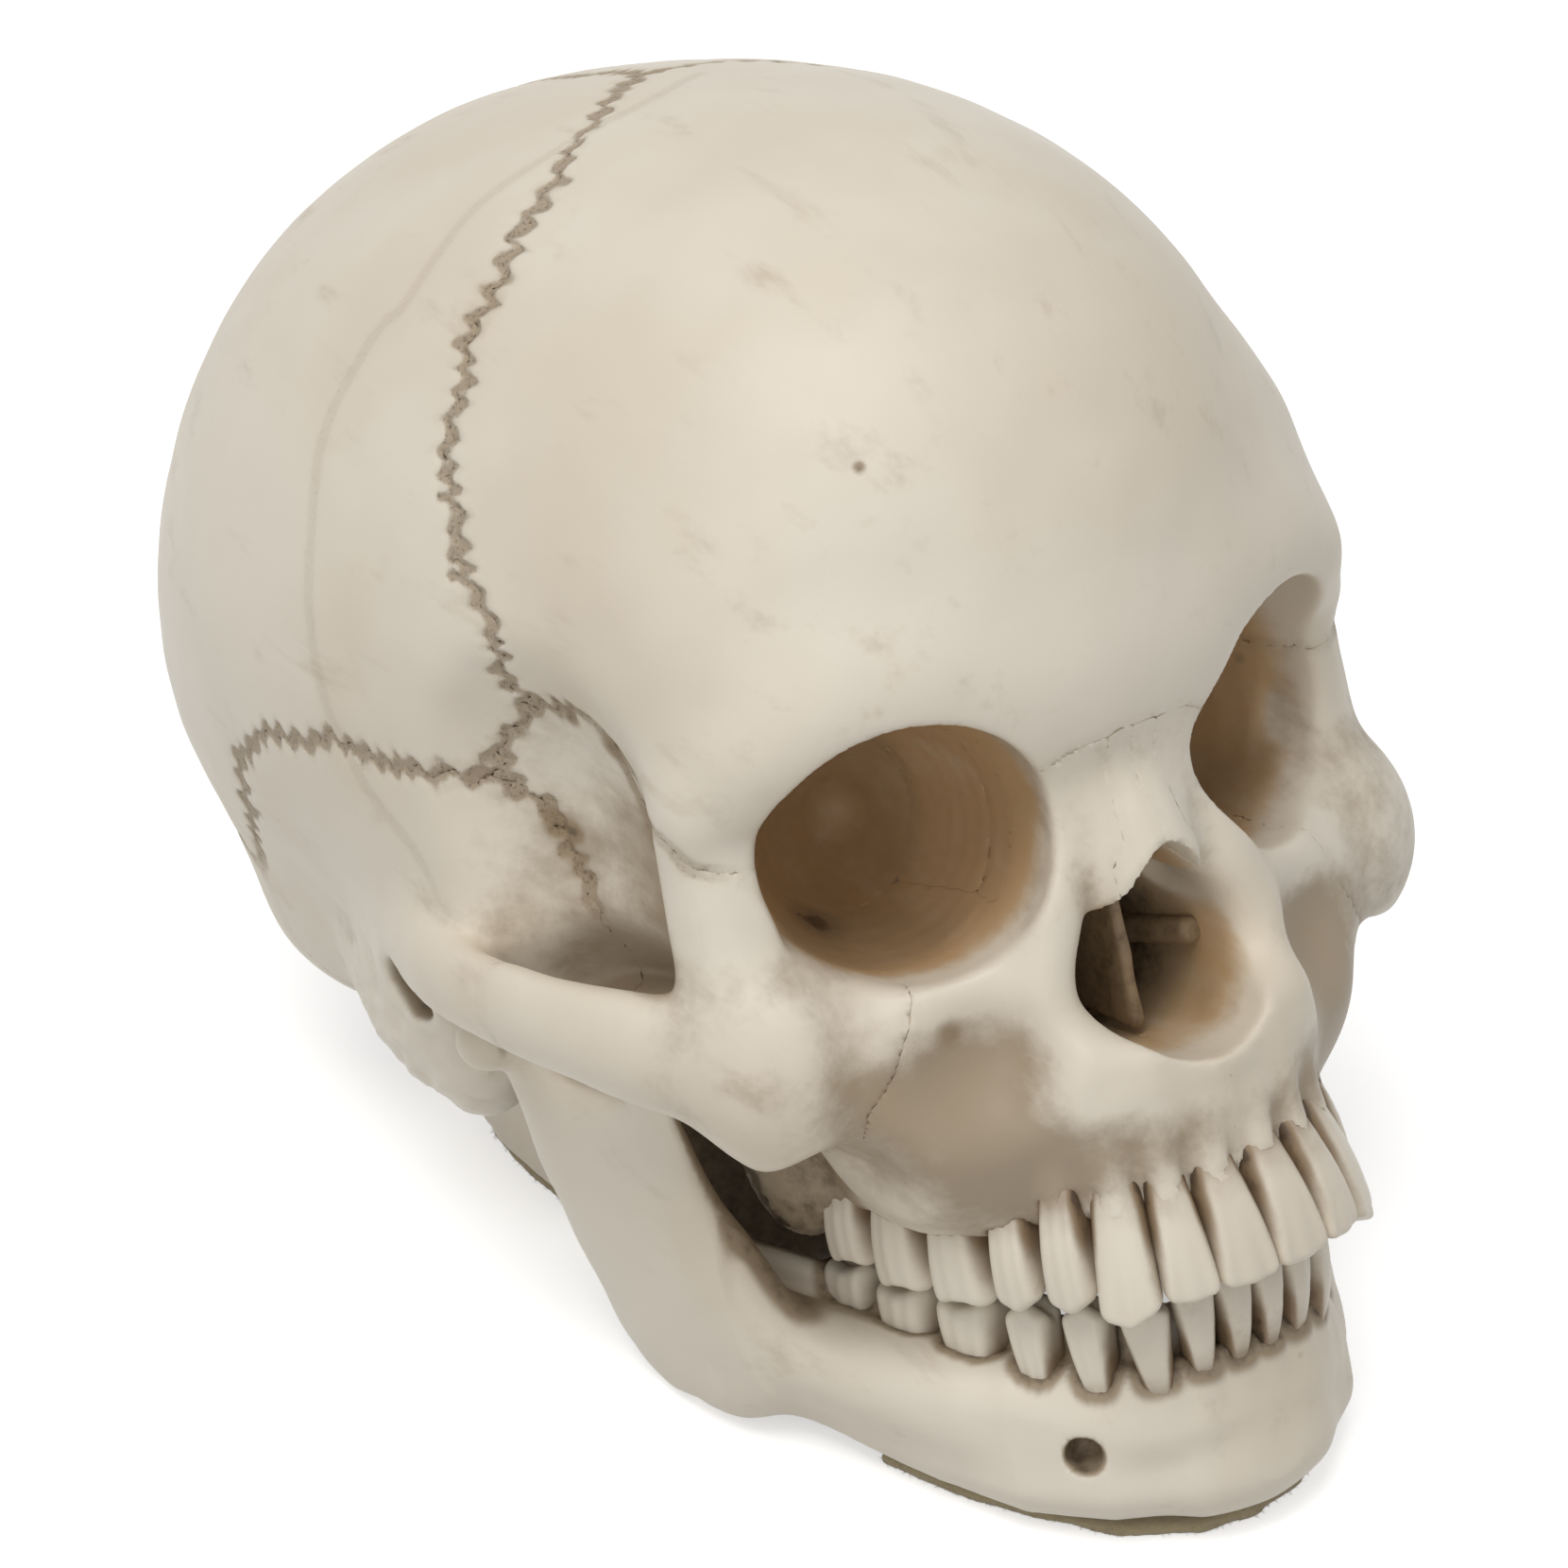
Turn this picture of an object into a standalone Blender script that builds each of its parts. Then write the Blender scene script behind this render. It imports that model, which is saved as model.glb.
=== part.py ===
"""A life-size classroom skull: a hollow cranium divided at its sutures, a jaw that swings on two pins,
32 set teeth, a neck block and felt pads. Metres, +Z up, face towards -Y, +X is the skull's own left side."""
import math

import bmesh
import bpy
import numpy as np
from mathutils import Euler, Matrix, Vector

for old in list(bpy.data.objects):
    bpy.data.objects.remove(old, do_unlink=True)

# Driving sizes of the head, and the turn that brings it to rest on its jaw and neck
HEAD_LENGTH = 0.182
HEAD_BREADTH = 0.140
HEAD_HEIGHT = 0.165
SPAN = Vector((HEAD_BREADTH, HEAD_LENGTH, HEAD_HEIGHT))
REST_RUN_SHARE = 0.29
REST_RISE_SHARE = 0.1175
FACE_UP_TURN = math.atan2(REST_RISE_SHARE * HEAD_HEIGHT, REST_RUN_SHARE * HEAD_LENGTH)

# Walls, gaps and small hardware
VAULT_WALL = 0.0055
ORBIT_WALL = 0.0030
KERF = 0.0003
SEAT_GAP = 0.0003
WELD_REACH = 0.000003
OVERRUN = 0.0015
HINGE_PIN_RADIUS = 0.0015
HINGE_PIN_GAP = 0.00008
PAD_THICKNESS = 0.0015
VOMER_THICKNESS = 0.0018
ROOT_LENGTH = 0.0060

# Grain of the cast forms, before they are thinned for the file
CRANIUM_GRAIN = 0.0021
JAW_GRAIN = 0.0016
CRANIUM_TRIANGLES = 5400
JAW_TRIANGLES = 1500
HEAL_ROUNDS = 4


def at(shares):
    """A place on the head, from its shares of breadth, length and height. Zero lies between the ears."""
    return Vector(share * full for share, full in zip(shares, SPAN))


def reach(share):
    """A radius or a depth, from its share of the head's length."""
    return share * HEAD_LENGTH


def on_right(shares):
    return (-shares[0], *shares[1:])


# Materials, one for each finish, made on first use


def finish(name, colour, roughness, metallic=0.0):
    found = bpy.data.materials.get(name)
    if found:
        return found
    made = bpy.data.materials.new(name)
    made.use_nodes = True
    shader = made.node_tree.nodes["Principled BSDF"]
    shader.inputs["Base Color"].default_value = (*colour, 1)
    shader.inputs["Roughness"].default_value = roughness
    shader.inputs["Metallic"].default_value = metallic
    made.diffuse_color = (*colour, 1)
    return made


def bone_resin():
    return finish("ivory_resin", (0.68, 0.62, 0.52), 0.5)


def tooth_resin():
    return finish("tooth_resin", (0.74, 0.69, 0.58), 0.4)


def pin_steel():
    return finish("pin_steel", (0.6, 0.6, 0.6), 0.3, 1.0)


def pad_felt():
    return finish("tan_felt", (0.42, 0.34, 0.2), 0.95)


# Mesh building


def object_from(bm, name):
    mesh = bpy.data.meshes.new(name)
    bm.to_mesh(mesh)
    bm.free()
    made = bpy.data.objects.new(name, mesh)
    bpy.context.scene.collection.objects.link(made)
    return made


def baked(thing):
    """Turns an object and its modifiers into a plain mesh object of the same name."""
    graph = bpy.context.evaluated_depsgraph_get()
    graph.update()
    mesh = bpy.data.meshes.new_from_object(thing.evaluated_get(graph))
    name = thing.name
    bpy.data.objects.remove(thing, do_unlink=True)
    made = bpy.data.objects.new(name, mesh)
    bpy.context.scene.collection.objects.link(made)
    return made


def ellipsoid(centre_shares, radii_shares, turn=(0, 0, 0), detail=4):
    bm = bmesh.new()
    bmesh.ops.create_icosphere(bm, subdivisions=detail, radius=1)
    tilt = Euler([math.radians(angle) for angle in turn]).to_matrix().to_4x4()
    bm.transform(Matrix.Translation(at(centre_shares)) @ tilt @ Matrix.Diagonal((*at(radii_shares), 1)))
    return object_from(bm, "ellipsoid")


def bar(knot_shares, squash=1.0, detail=3, grown=0.0):
    """A bent bar through knots of a place and a radius; squash narrows it across the head."""
    curve = bpy.data.curves.new("bar", "CURVE")
    curve.dimensions = "3D"
    curve.resolution_u = 5
    curve.bevel_depth = 1
    curve.bevel_resolution = detail
    curve.use_fill_caps = True
    spline = curve.splines.new("BEZIER")
    spline.bezier_points.add(len(knot_shares) - 1)
    for knot, shares in zip(spline.bezier_points, knot_shares):
        place = at(shares[:3])
        knot.co = (place.x / squash, place.y, place.z)
        knot.radius = reach(shares[3]) + grown
        knot.handle_left_type = knot.handle_right_type = "AUTO"
    made = bpy.data.objects.new("bar", curve)
    bpy.context.scene.collection.objects.link(made)
    made = baked(made)
    bm = bmesh.new()
    bm.from_mesh(made.data)
    bmesh.ops.remove_doubles(bm, verts=bm.verts, dist=WELD_REACH)
    bm.transform(Matrix.Diagonal((squash, 1, 1, 1)))
    bm.to_mesh(made.data)
    bm.free()
    return made


def rod(name, start, end, radius, corners=16):
    bm = bmesh.new()
    bmesh.ops.create_cone(bm, cap_ends=True, segments=corners, radius1=radius, radius2=radius,
                          depth=(end - start).length)
    turn = (end - start).to_track_quat("Z", "Y").to_matrix().to_4x4()
    bm.transform(Matrix.Translation((start + end) / 2) @ turn)
    return object_from(bm, name)


def loft(rings, name="loft", closed=False):
    """A solid through rings of equally many corners; a closed one joins its last ring to its first."""
    bm = bmesh.new()
    rows = [[bm.verts.new(corner) for corner in ring] for ring in rings]
    count = len(rows[0])
    pairs = list(zip(rows, rows[1:]))
    if closed:
        pairs.append((rows[-1], rows[0]))
    for low, high in pairs:
        for i in range(count):
            j = (i + 1) % count
            bm.faces.new((low[i], low[j], high[j], high[i]))
    if not closed:
        bm.faces.new(rows[0])
        bm.faces.new(rows[-1])
    bmesh.ops.recalc_face_normals(bm, faces=bm.faces)
    return object_from(bm, name)


def sheet(rows, thickness=KERF):
    """A thin cut: a band of quads between rows of corners, thickened evenly about its middle."""
    bm = bmesh.new()
    made = [[bm.verts.new(corner) for corner in row] for row in rows]
    for low, high in zip(made, made[1:]):
        for i in range(len(low) - 1):
            bm.faces.new((low[i], low[i + 1], high[i + 1], high[i]))
    cut = object_from(bm, "sheet")
    thicken = cut.modifiers.new("thicken", "SOLIDIFY")
    thicken.thickness = thickness
    thicken.offset = 0
    thicken.use_even_offset = True
    return baked(cut)


def mirror_copy(thing, name=None):
    made = bpy.data.objects.new(name or thing.name, thing.data.copy())
    bpy.context.scene.collection.objects.link(made)
    made.data.transform(Matrix.Diagonal((-1, 1, 1, 1)))
    made.data.flip_normals()
    return made


def sided(thing, side):
    """The left piece as it is, or turned into the right one."""
    if side == "right":
        thing.data.transform(Matrix.Diagonal((-1, 1, 1, 1)))
        thing.data.flip_normals()
    return thing


def fused(things, name, voxel, smoothings):
    """Runs overlapping forms into one casting with softened corners."""
    bm = bmesh.new()
    for thing in things:
        bm.from_mesh(thing.data)
        bpy.data.objects.remove(thing, do_unlink=True)
    made = object_from(bm, name)
    remesh = made.modifiers.new("remesh", "REMESH")
    remesh.mode = "VOXEL"
    remesh.voxel_size = voxel
    smooth = made.modifiers.new("smooth", "SMOOTH")
    smooth.iterations = smoothings
    return baked(made)


def thinned(thing, triangles):
    reduce = thing.modifiers.new("reduce", "DECIMATE")
    reduce.use_symmetry = True
    reduce.ratio = min(1.0, triangles / sum(len(face.vertices) - 2 for face in thing.data.polygons))
    return healed(baked(thing))


def healed(thing):
    """Takes out the faces round any edge that doesn't join two of them, and closes the holes again."""
    bm = bmesh.new()
    bm.from_mesh(thing.data)
    for attempt in range(HEAL_ROUNDS):
        torn = [edge for edge in bm.edges if len(edge.link_faces) != 2]
        if not torn:
            break
        faces = {face for edge in torn for vert in edge.verts for face in vert.link_faces}
        bmesh.ops.delete(bm, geom=list(faces), context="FACES")
        rims = [edge for edge in bm.edges if len(edge.link_faces) == 1]
        filled = bmesh.ops.holes_fill(bm, edges=rims, sides=0)
        bmesh.ops.triangulate(bm, faces=filled["faces"])
        bmesh.ops.recalc_face_normals(bm, faces=bm.faces[:])
    bm.to_mesh(thing.data)
    bm.free()
    return thing


def boolean(thing, cutter, keep=False, solver="EXACT"):
    """Cuts one object from another. The manifold solver suits thin cuts that part a thing in many pieces."""
    cut = thing.modifiers.new("cut", "BOOLEAN")
    cut.operation = "DIFFERENCE"
    cut.solver = solver
    cut.object = cutter
    made = baked(thing)
    if not keep:
        bpy.data.objects.remove(cutter, do_unlink=True)
    return made


# The braincase and its hollow, as soft distance forms on the left side, mirrored

BRAINCASE_SHARES = (
    ((0, 0.077, 0.261), (0.5, 0.396, 0.412), 0), ((0, -0.187, 0.285), (0.429, 0.357, 0.376), 0.132),
    ((0, 0.242, 0.182), (0.393, 0.231, 0.255), 0.121),
    ((0.171, 0.231, -0.012), (0.214, 0.176, 0.121), 0.088),
    ((0.229, -0.077, 0.048), (0.193, 0.209, 0.158), 0.099),
    ((0, -0.055, -0.061), (0.186, 0.22, 0.097), 0.077),
    ((0.143, -0.247, 0.061), (0.186, 0.143, 0.182), 0.066),
    ((0, 0.33, -0.048), (0.214, 0.077, 0.048), 0.088),
)
TEMPLE_HOLLOW_SHARES = (
    ((0.464, -0.253, 0.109), (0.107, 0.126, 0.182), 0.055),
    ((0.386, -0.22, -0.085), (0.1, 0.11, 0.121), 0.033),
)
BRAINCASE_CENTRE_SHARES = (0, 0.022, 0.273)
ORBIT_SHARES = ((0.211, -0.462, 0.095), (0.146, 0.11, 0.108))
ORBIT_CONE_SHARES = (
    (0.211, -0.462, 0.097, 0.099), (0.186, -0.385, 0.091, 0.095), (0.15, -0.308, 0.082, 0.069),
    (0.114, -0.253, 0.073, 0.033),
)
DENSE_EAR_SHARES = ((0.293, -0.044, -0.061), (0.1, 0.077, 0.079))
DENSE_NOSE_SHARES = ((0, -0.412, 0), (0.157, 0.187, 0.158))
BRAIN_FLOOR_SHARE = -0.067


def depth_in(points, centre_shares, radii_shares):
    """About how far points lie outside an ellipsoid."""
    away = points - np.array(at(centre_shares))
    radii = np.array(at(radii_shares))
    near = np.maximum(np.linalg.norm(away / radii, axis=1), 1e-9)
    slope = np.maximum(np.linalg.norm(away / radii**2, axis=1), 1e-9)
    return near * (near - 1) / slope


def soft_join(first, second, blend_share):
    if blend_share == 0:
        return np.minimum(first, second)
    blend = reach(blend_share)
    overlap = np.maximum(blend - np.abs(first - second), 0) / blend
    return np.minimum(first, second) - overlap**2 * blend / 4


def on_left(points):
    return np.column_stack((np.abs(points[:, 0]), points[:, 1:]))


def braincase_depth(points):
    side = on_left(points)
    depth = None
    for centre_shares, radii_shares, blend_share in BRAINCASE_SHARES:
        form = depth_in(side, centre_shares, radii_shares)
        depth = form if depth is None else soft_join(depth, form, blend_share)
    for centre_shares, radii_shares, blend_share in TEMPLE_HOLLOW_SHARES:
        depth = -soft_join(-depth, depth_in(side, centre_shares, radii_shares), blend_share)
    return depth


def brain_depth(points):
    """The hollow keeps a wall inside the braincase, clear of the orbits, the nose and the ear bone."""
    side = on_left(points)
    depth = braincase_depth(points) + VAULT_WALL
    depth = np.maximum(depth, ORBIT_WALL - depth_in(side, *ORBIT_SHARES))
    for *place_shares, radius_share in ORBIT_CONE_SHARES:
        gap = np.linalg.norm(side - np.array(at(place_shares)), axis=1) - reach(radius_share)
        depth = np.maximum(depth, ORBIT_WALL - gap)
    depth = np.maximum(depth, -depth_in(side, *DENSE_EAR_SHARES))
    depth = np.maximum(depth, -depth_in(side, *DENSE_NOSE_SHARES))
    return np.maximum(depth, BRAIN_FLOOR_SHARE * HEAD_HEIGHT - side[:, 2])


def blown(depth, name, detail):
    """A ball whose points are blown out from the middle of the head until they meet a form."""
    bm = bmesh.new()
    bmesh.ops.create_icosphere(bm, subdivisions=detail, radius=1)
    middle = np.array(at(BRAINCASE_CENTRE_SHARES))
    ways = np.array([vert.co.normalized() for vert in bm.verts])
    near = np.zeros(len(ways))
    far = np.full(len(ways), HEAD_LENGTH)
    for _ in range(24):
        half = (near + far) / 2
        inside = depth(middle + ways * half[:, None]) < 0
        near = np.where(inside, half, near)
        far = np.where(inside, far, half)
    for vert, way, length in zip(bm.verts, ways, near):
        vert.co = middle + way * length
    return object_from(bm, name)


# Forms of the face and base, on the left side

BROW_SHARES = (
    (0.004, -0.484, 0.206, 0.027), (0.071, -0.478, 0.194, 0.027), (0.143, -0.478, 0.218, 0.027),
    (0.236, -0.464, 0.224, 0.027), (0.321, -0.431, 0.2, 0.026), (0.375, -0.385, 0.152, 0.024),
)
SIDE_RIM_SHARES = (
    (0.368, -0.385, 0.176, 0.021), (0.375, -0.374, 0.133, 0.023), (0.379, -0.368, 0.079, 0.024),
    (0.364, -0.371, 0.018, 0.027), (0.343, -0.385, -0.048, 0.038),
)
ARCH_SHARES = (
    (0.35, -0.385, -0.055, 0.049), (0.418, -0.33, -0.036, 0.047), (0.461, -0.253, -0.012, 0.04),
    (0.475, -0.165, 0.003, 0.034), (0.464, -0.077, 0.015, 0.033), (0.429, 0, 0.021, 0.033),
    (0.379, 0.077, 0.03, 0.027),
)
ARCH_SQUASH_SHARE = 0.55
LOWER_RIM_SHARES = (
    (0.321, -0.39, -0.024, 0.033), (0.257, -0.418, -0.042, 0.031), (0.171, -0.442, -0.03, 0.03),
    (0.107, -0.467, 0.018, 0.027),
)
NOSE_SIDE_SHARES = (
    (0.039, -0.464, 0.164, 0.024), (0.061, -0.484, 0.085, 0.024), (0.104, -0.492, 0.012, 0.025),
    (0.121, -0.493, -0.061, 0.026), (0.086, -0.508, -0.133, 0.027),
)
NOSE_BRIDGE_SHARES = (
    (0.011, -0.462, 0.188, 0.027), (0.011, -0.503, 0.103, 0.025), (0.013, -0.547, 0.042, 0.024),
)
PTERYGOID_SHARES = (
    (0.129, -0.231, -0.03, 0.038), (0.121, -0.209, -0.133, 0.033), (0.121, -0.203, -0.224, 0.027),
)
PTERYGOID_SQUASH_SHARE = 0.6
GLABELLA_SHARES = ((0.014, -0.47, 0.206), (0.107, 0.049, 0.061))
CHEEK_SHARES = ((0.336, -0.374, -0.061), (0.086, 0.047, 0.091))
CHEEK_TURN = (0, 0, -25)
UPPER_JAW_SHARES = ((0.171, -0.385, -0.121), (0.143, 0.11, 0.127))
ORBIT_SIDE_SHARES = ((0.321, -0.335, 0.067), (0.026, 0.066, 0.103))
ORBIT_SIDE_TURN = (0, 0, 38)
MASTOID_SHARES = ((0.357, 0.049, -0.067), (0.068, 0.066, 0.103))
MASTOID_TURN = (-12, 0, 0)
MASTOID_BACK_SHARES = ((0.336, 0.099, -0.055), (0.079, 0.071, 0.079))
EAR_RIM_SHARES = ((0.4, 0, -0.018), (0.043, 0.038, 0.042))
CANINE_HOLLOW_SHARES = ((0.221, -0.505, -0.121), (0.079, 0.049, 0.073))
JAW_SOCKET_SHARES = ((0.393, -0.071, -0.067), (0.093, 0.038, 0.048))
EAR_CANAL_SHARES = (
    (0.471, 0.005, -0.024, 0.029), (0.414, 0.005, -0.021, 0.025), (0.357, 0.005, -0.018, 0.022),
)
UPPER_ALVEOLAR_SHARES = (
    (0, -0.534, -0.233, -0.088), (0.064, -0.526, -0.233, -0.088), (0.12, -0.5, -0.233, -0.088),
    (0.163, -0.445, -0.233, -0.088), (0.187, -0.385, -0.233, -0.088), (0.204, -0.319, -0.233, -0.088),
    (0.211, -0.258, -0.233, -0.088),
)
UPPER_ALVEOLAR_HALF_SHARE = 0.029
ALVEOLAR_LEAN_SHARE = -0.005


WALL_SOFT_SHARE = 0.5
WALL_FLAT_SHARE = 0.75


def upright_wall(station_shares, half_shares, lean_share=0.0):
    """A wall of bone along half a plan curve, mirrored into a horseshoe. Each station has its place in plan
    and the lower and upper heights there."""
    fold = len(station_shares) - 1
    stations = [on_right(shares) for shares in reversed(station_shares[1:])] + list(station_shares)
    rings = []
    for i, (x_share, y_share, low_share, high_share) in enumerate(stations):
        before = at((*stations[max(i - 1, 0)][:2], 0))
        after = at((*stations[min(i + 1, len(stations) - 1)][:2], 0))
        along = (after - before).normalized()
        out = Vector((along.y, -along.x, 0))
        low = Vector((0, 0, low_share * HEAD_HEIGHT))
        high = Vector((0, 0, high_share * HEAD_HEIGHT))
        half = reach(half_shares[abs(i - fold)])
        lean = out * reach(lean_share)
        middle = at((x_share, y_share, 0))
        soft = Vector((0, 0, half * WALL_SOFT_SHARE))
        side = out * half
        inset = side * WALL_FLAT_SHARE
        rings.append((
            middle - inset - lean + low,
            middle + inset - lean + low,
            middle + side - lean + low + soft,
            middle + side + lean + high - soft,
            middle + inset + lean + high,
            middle - inset + lean + high,
            middle - side + lean + high - soft,
            middle - side - lean + low + soft,
        ))
    return loft(rings)


def cast_cranium():
    left = [
        bar(BROW_SHARES), bar(SIDE_RIM_SHARES), bar(ARCH_SHARES, ARCH_SQUASH_SHARE), bar(LOWER_RIM_SHARES),
        bar(NOSE_SIDE_SHARES), bar(NOSE_BRIDGE_SHARES), bar(PTERYGOID_SHARES, PTERYGOID_SQUASH_SHARE),
        ellipsoid(*GLABELLA_SHARES), ellipsoid(*CHEEK_SHARES, CHEEK_TURN), ellipsoid(*UPPER_JAW_SHARES),
        ellipsoid(*ORBIT_SIDE_SHARES, ORBIT_SIDE_TURN), ellipsoid(*MASTOID_SHARES, MASTOID_TURN),
        ellipsoid(*MASTOID_BACK_SHARES), ellipsoid(*EAR_RIM_SHARES),
    ]
    halves = (UPPER_ALVEOLAR_HALF_SHARE,) * len(UPPER_ALVEOLAR_SHARES)
    alveolar_arch = upright_wall(UPPER_ALVEOLAR_SHARES, halves, ALVEOLAR_LEAN_SHARE)
    forms = [blown(braincase_depth, "braincase", 6), alveolar_arch]
    forms += left + [mirror_copy(form) for form in left]
    cranium = fused(forms, "cranium", CRANIUM_GRAIN, 4)
    for hollow in (ellipsoid(*CANINE_HOLLOW_SHARES), ellipsoid(*JAW_SOCKET_SHARES), bar(EAR_CANAL_SHARES)):
        cranium = boolean(cranium, mirror_copy(hollow))
        cranium = boolean(cranium, hollow)
    return fused([cranium], "cranium", CRANIUM_GRAIN, 2)


# Hollows of the cranium

NOSE_HOLLOW_SHARES = ((0, -0.505, -0.045), (0.084, 0.253, 0.065))
NOSE_PEAK_SHARES = ((0, -0.527, -0.012), (0.043, 0.22, 0.048))
CHOANA_SHARES = ((0, -0.231, -0.145), (0.086, 0.071, 0.073))
PALATE_SHARES = ((0, -0.363, -0.255), (0.136, 0.143, 0.097))
FORAMEN_SHARES = ((0, 0.066, -0.17), (0.1, 0.093, 0.206))


def carved(cranium):
    """Opens the orbits, the nose, the palate, the braincase and the great foramen below it."""
    orbit = fused([ellipsoid(*ORBIT_SHARES), bar(ORBIT_CONE_SHARES)], "orbit", CRANIUM_GRAIN, 3)
    orbit = thinned(orbit, 500)
    nose_forms = [ellipsoid(*shares) for shares in (NOSE_HOLLOW_SHARES, NOSE_PEAK_SHARES, CHOANA_SHARES)]
    nose = thinned(fused(nose_forms, "nose", CRANIUM_GRAIN, 2), 500)
    for hollow in (mirror_copy(orbit), orbit, nose, ellipsoid(*PALATE_SHARES, detail=3),
                   blown(brain_depth, "brain", 4), ellipsoid(*FORAMEN_SHARES, detail=3)):
        cranium = boolean(cranium, hollow)
    return cranium


# Teeth: place of the outer face in plan, width at the edge and the neck, depth at the edge and the neck,
# and heights of the edge and the neck. Widths follow the run of the arch, depths the head's length.

TOOTH_NAMES = (
    "central_incisor", "lateral_incisor", "canine", "first_premolar", "second_premolar", "first_molar",
    "second_molar", "third_molar",
)
FRONT_TEETH = 3
UPPER_TEETH_SHARES = (
    (0.033, -0.575, 0.0565, 0.0415, 0.014, 0.038, -0.308, -0.221),
    (0.093, -0.565, 0.0386, 0.0285, 0.014, 0.036, -0.307, -0.221),
    (0.146, -0.54, 0.0376, 0.028, 0.023, 0.044, -0.318, -0.218),
    (0.18, -0.498, 0.0331, 0.025, 0.04, 0.041, -0.307, -0.221),
    (0.203, -0.454, 0.0344, 0.026, 0.041, 0.041, -0.307, -0.224),
    (0.223, -0.4, 0.0497, 0.0401, 0.052, 0.051, -0.308, -0.224),
    (0.237, -0.34, 0.0492, 0.0401, 0.051, 0.049, -0.302, -0.224),
    (0.244, -0.285, 0.0419, 0.0346, 0.046, 0.045, -0.288, -0.221),
)
LOWER_TEETH_SHARES = (
    (0.021, -0.541, 0.0357, 0.0219, 0.014, 0.03, -0.306, -0.376),
    (0.066, -0.534, 0.0312, 0.0189, 0.014, 0.031, -0.306, -0.379),
    (0.114, -0.516, 0.0322, 0.0177, 0.023, 0.036, -0.312, -0.388),
    (0.151, -0.475, 0.032, 0.0176, 0.035, 0.034, -0.313, -0.391),
    (0.179, -0.429, 0.0341, 0.0191, 0.037, 0.036, -0.313, -0.391),
    (0.201, -0.37, 0.0491, 0.0328, 0.051, 0.044, -0.314, -0.388),
    (0.219, -0.309, 0.0488, 0.0337, 0.049, 0.044, -0.308, -0.376),
    (0.23, -0.253, 0.0435, 0.032, 0.046, 0.042, -0.296, -0.358),
)
UPPER_LEAN_SHARE = -0.22
LOWER_LEAN_SHARE = -0.10
BACK_LEAN_SHARE = 0.3
TOOTH_RING_SHARES = ((0, 0.72), (0.12, 0.96), (0.45, 0.98), (1.0, 1.0))
ROOT_END_SHARE = 0.7
TOOTH_CORNERS = 8
TOOTH_SQUARENESS_SHARE = 0.7


def along_arch(rows, i):
    """The way the arch of teeth runs past a tooth, towards the back of the head."""
    last = len(rows) - 1
    before = at((*rows[i - 1][:2], 0)) if i else at((-rows[0][0], rows[0][1], 0))
    after = at((*rows[min(i + 1, last)][:2], 0))
    if i == last:
        before = at((*rows[last - 2][:2], 0))
    return (after - before).normalized()


def arch_reach(share, along):
    """A width along the arch, as a share of the head's breadth in front and of its length at the sides."""
    return share * (abs(along.x) * HEAD_BREADTH + abs(along.y) * HEAD_LENGTH)


def tooth(name, rows, i, lean_share, grown=0.0):
    """A crown that narrows to its neck and a root below it; grown by a gap, it is the socket."""
    x_share, y_share, edge_width, neck_width, edge_depth, neck_depth, edge_share, neck_share = rows[i]
    along = along_arch(rows, i)
    out = Vector((along.y, -along.x, 0))
    face = at((x_share, y_share, 0))
    edge = edge_share * HEAD_HEIGHT
    neck = neck_share * HEAD_HEIGHT
    up = 1 if neck > edge else -1
    lean = lean_share if i < FRONT_TEETH else lean_share * BACK_LEAN_SHARE
    stops = [(edge + (neck - edge) * run, run, full) for run, full in TOOTH_RING_SHARES]
    stops.append((neck + up * ROOT_LENGTH, 1, ROOT_END_SHARE))
    if grown:
        stops[0] = (edge - up * grown, 0, stops[0][2])
        stops[-1] = (stops[-1][0] + up * grown, 1, ROOT_END_SHARE)
    rings = []
    for height, run, full in stops:
        width = arch_reach(edge_width + (neck_width - edge_width) * run, along) * full / 2 + grown
        depth = reach(edge_depth + (neck_depth - edge_depth) * run)
        half = depth * full / 2 + grown
        middle = face + out * (lean * up * (height - (edge + neck) / 2) - depth / 2)
        ring = []
        for k in range(TOOTH_CORNERS):
            angle = math.tau * (k + 0.5) / TOOTH_CORNERS
            c, s = math.cos(angle), math.sin(angle)
            aside = width * math.copysign(abs(c) ** TOOTH_SQUARENESS_SHARE, c)
            outward = half * math.copysign(abs(s) ** TOOTH_SQUARENESS_SHARE, s)
            ring.append(middle + along * aside + out * outward + Vector((0, 0, height)))
        rings.append(ring)
    return loft(rings, name)


def all_teeth(grown=0.0):
    """Both rows of both sides, by name."""
    made = {}
    for row_name, rows, lean_share in (("upper", UPPER_TEETH_SHARES, UPPER_LEAN_SHARE),
                                       ("lower", LOWER_TEETH_SHARES, LOWER_LEAN_SHARE)):
        for i, tooth_name in enumerate(TOOTH_NAMES):
            left = tooth(f"{row_name}_{tooth_name}_left", rows, i, lean_share, grown)
            made[left.name] = left
            right = mirror_copy(left, f"{row_name}_{tooth_name}_right")
            made[right.name] = right
    return made


# Jaw

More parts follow.
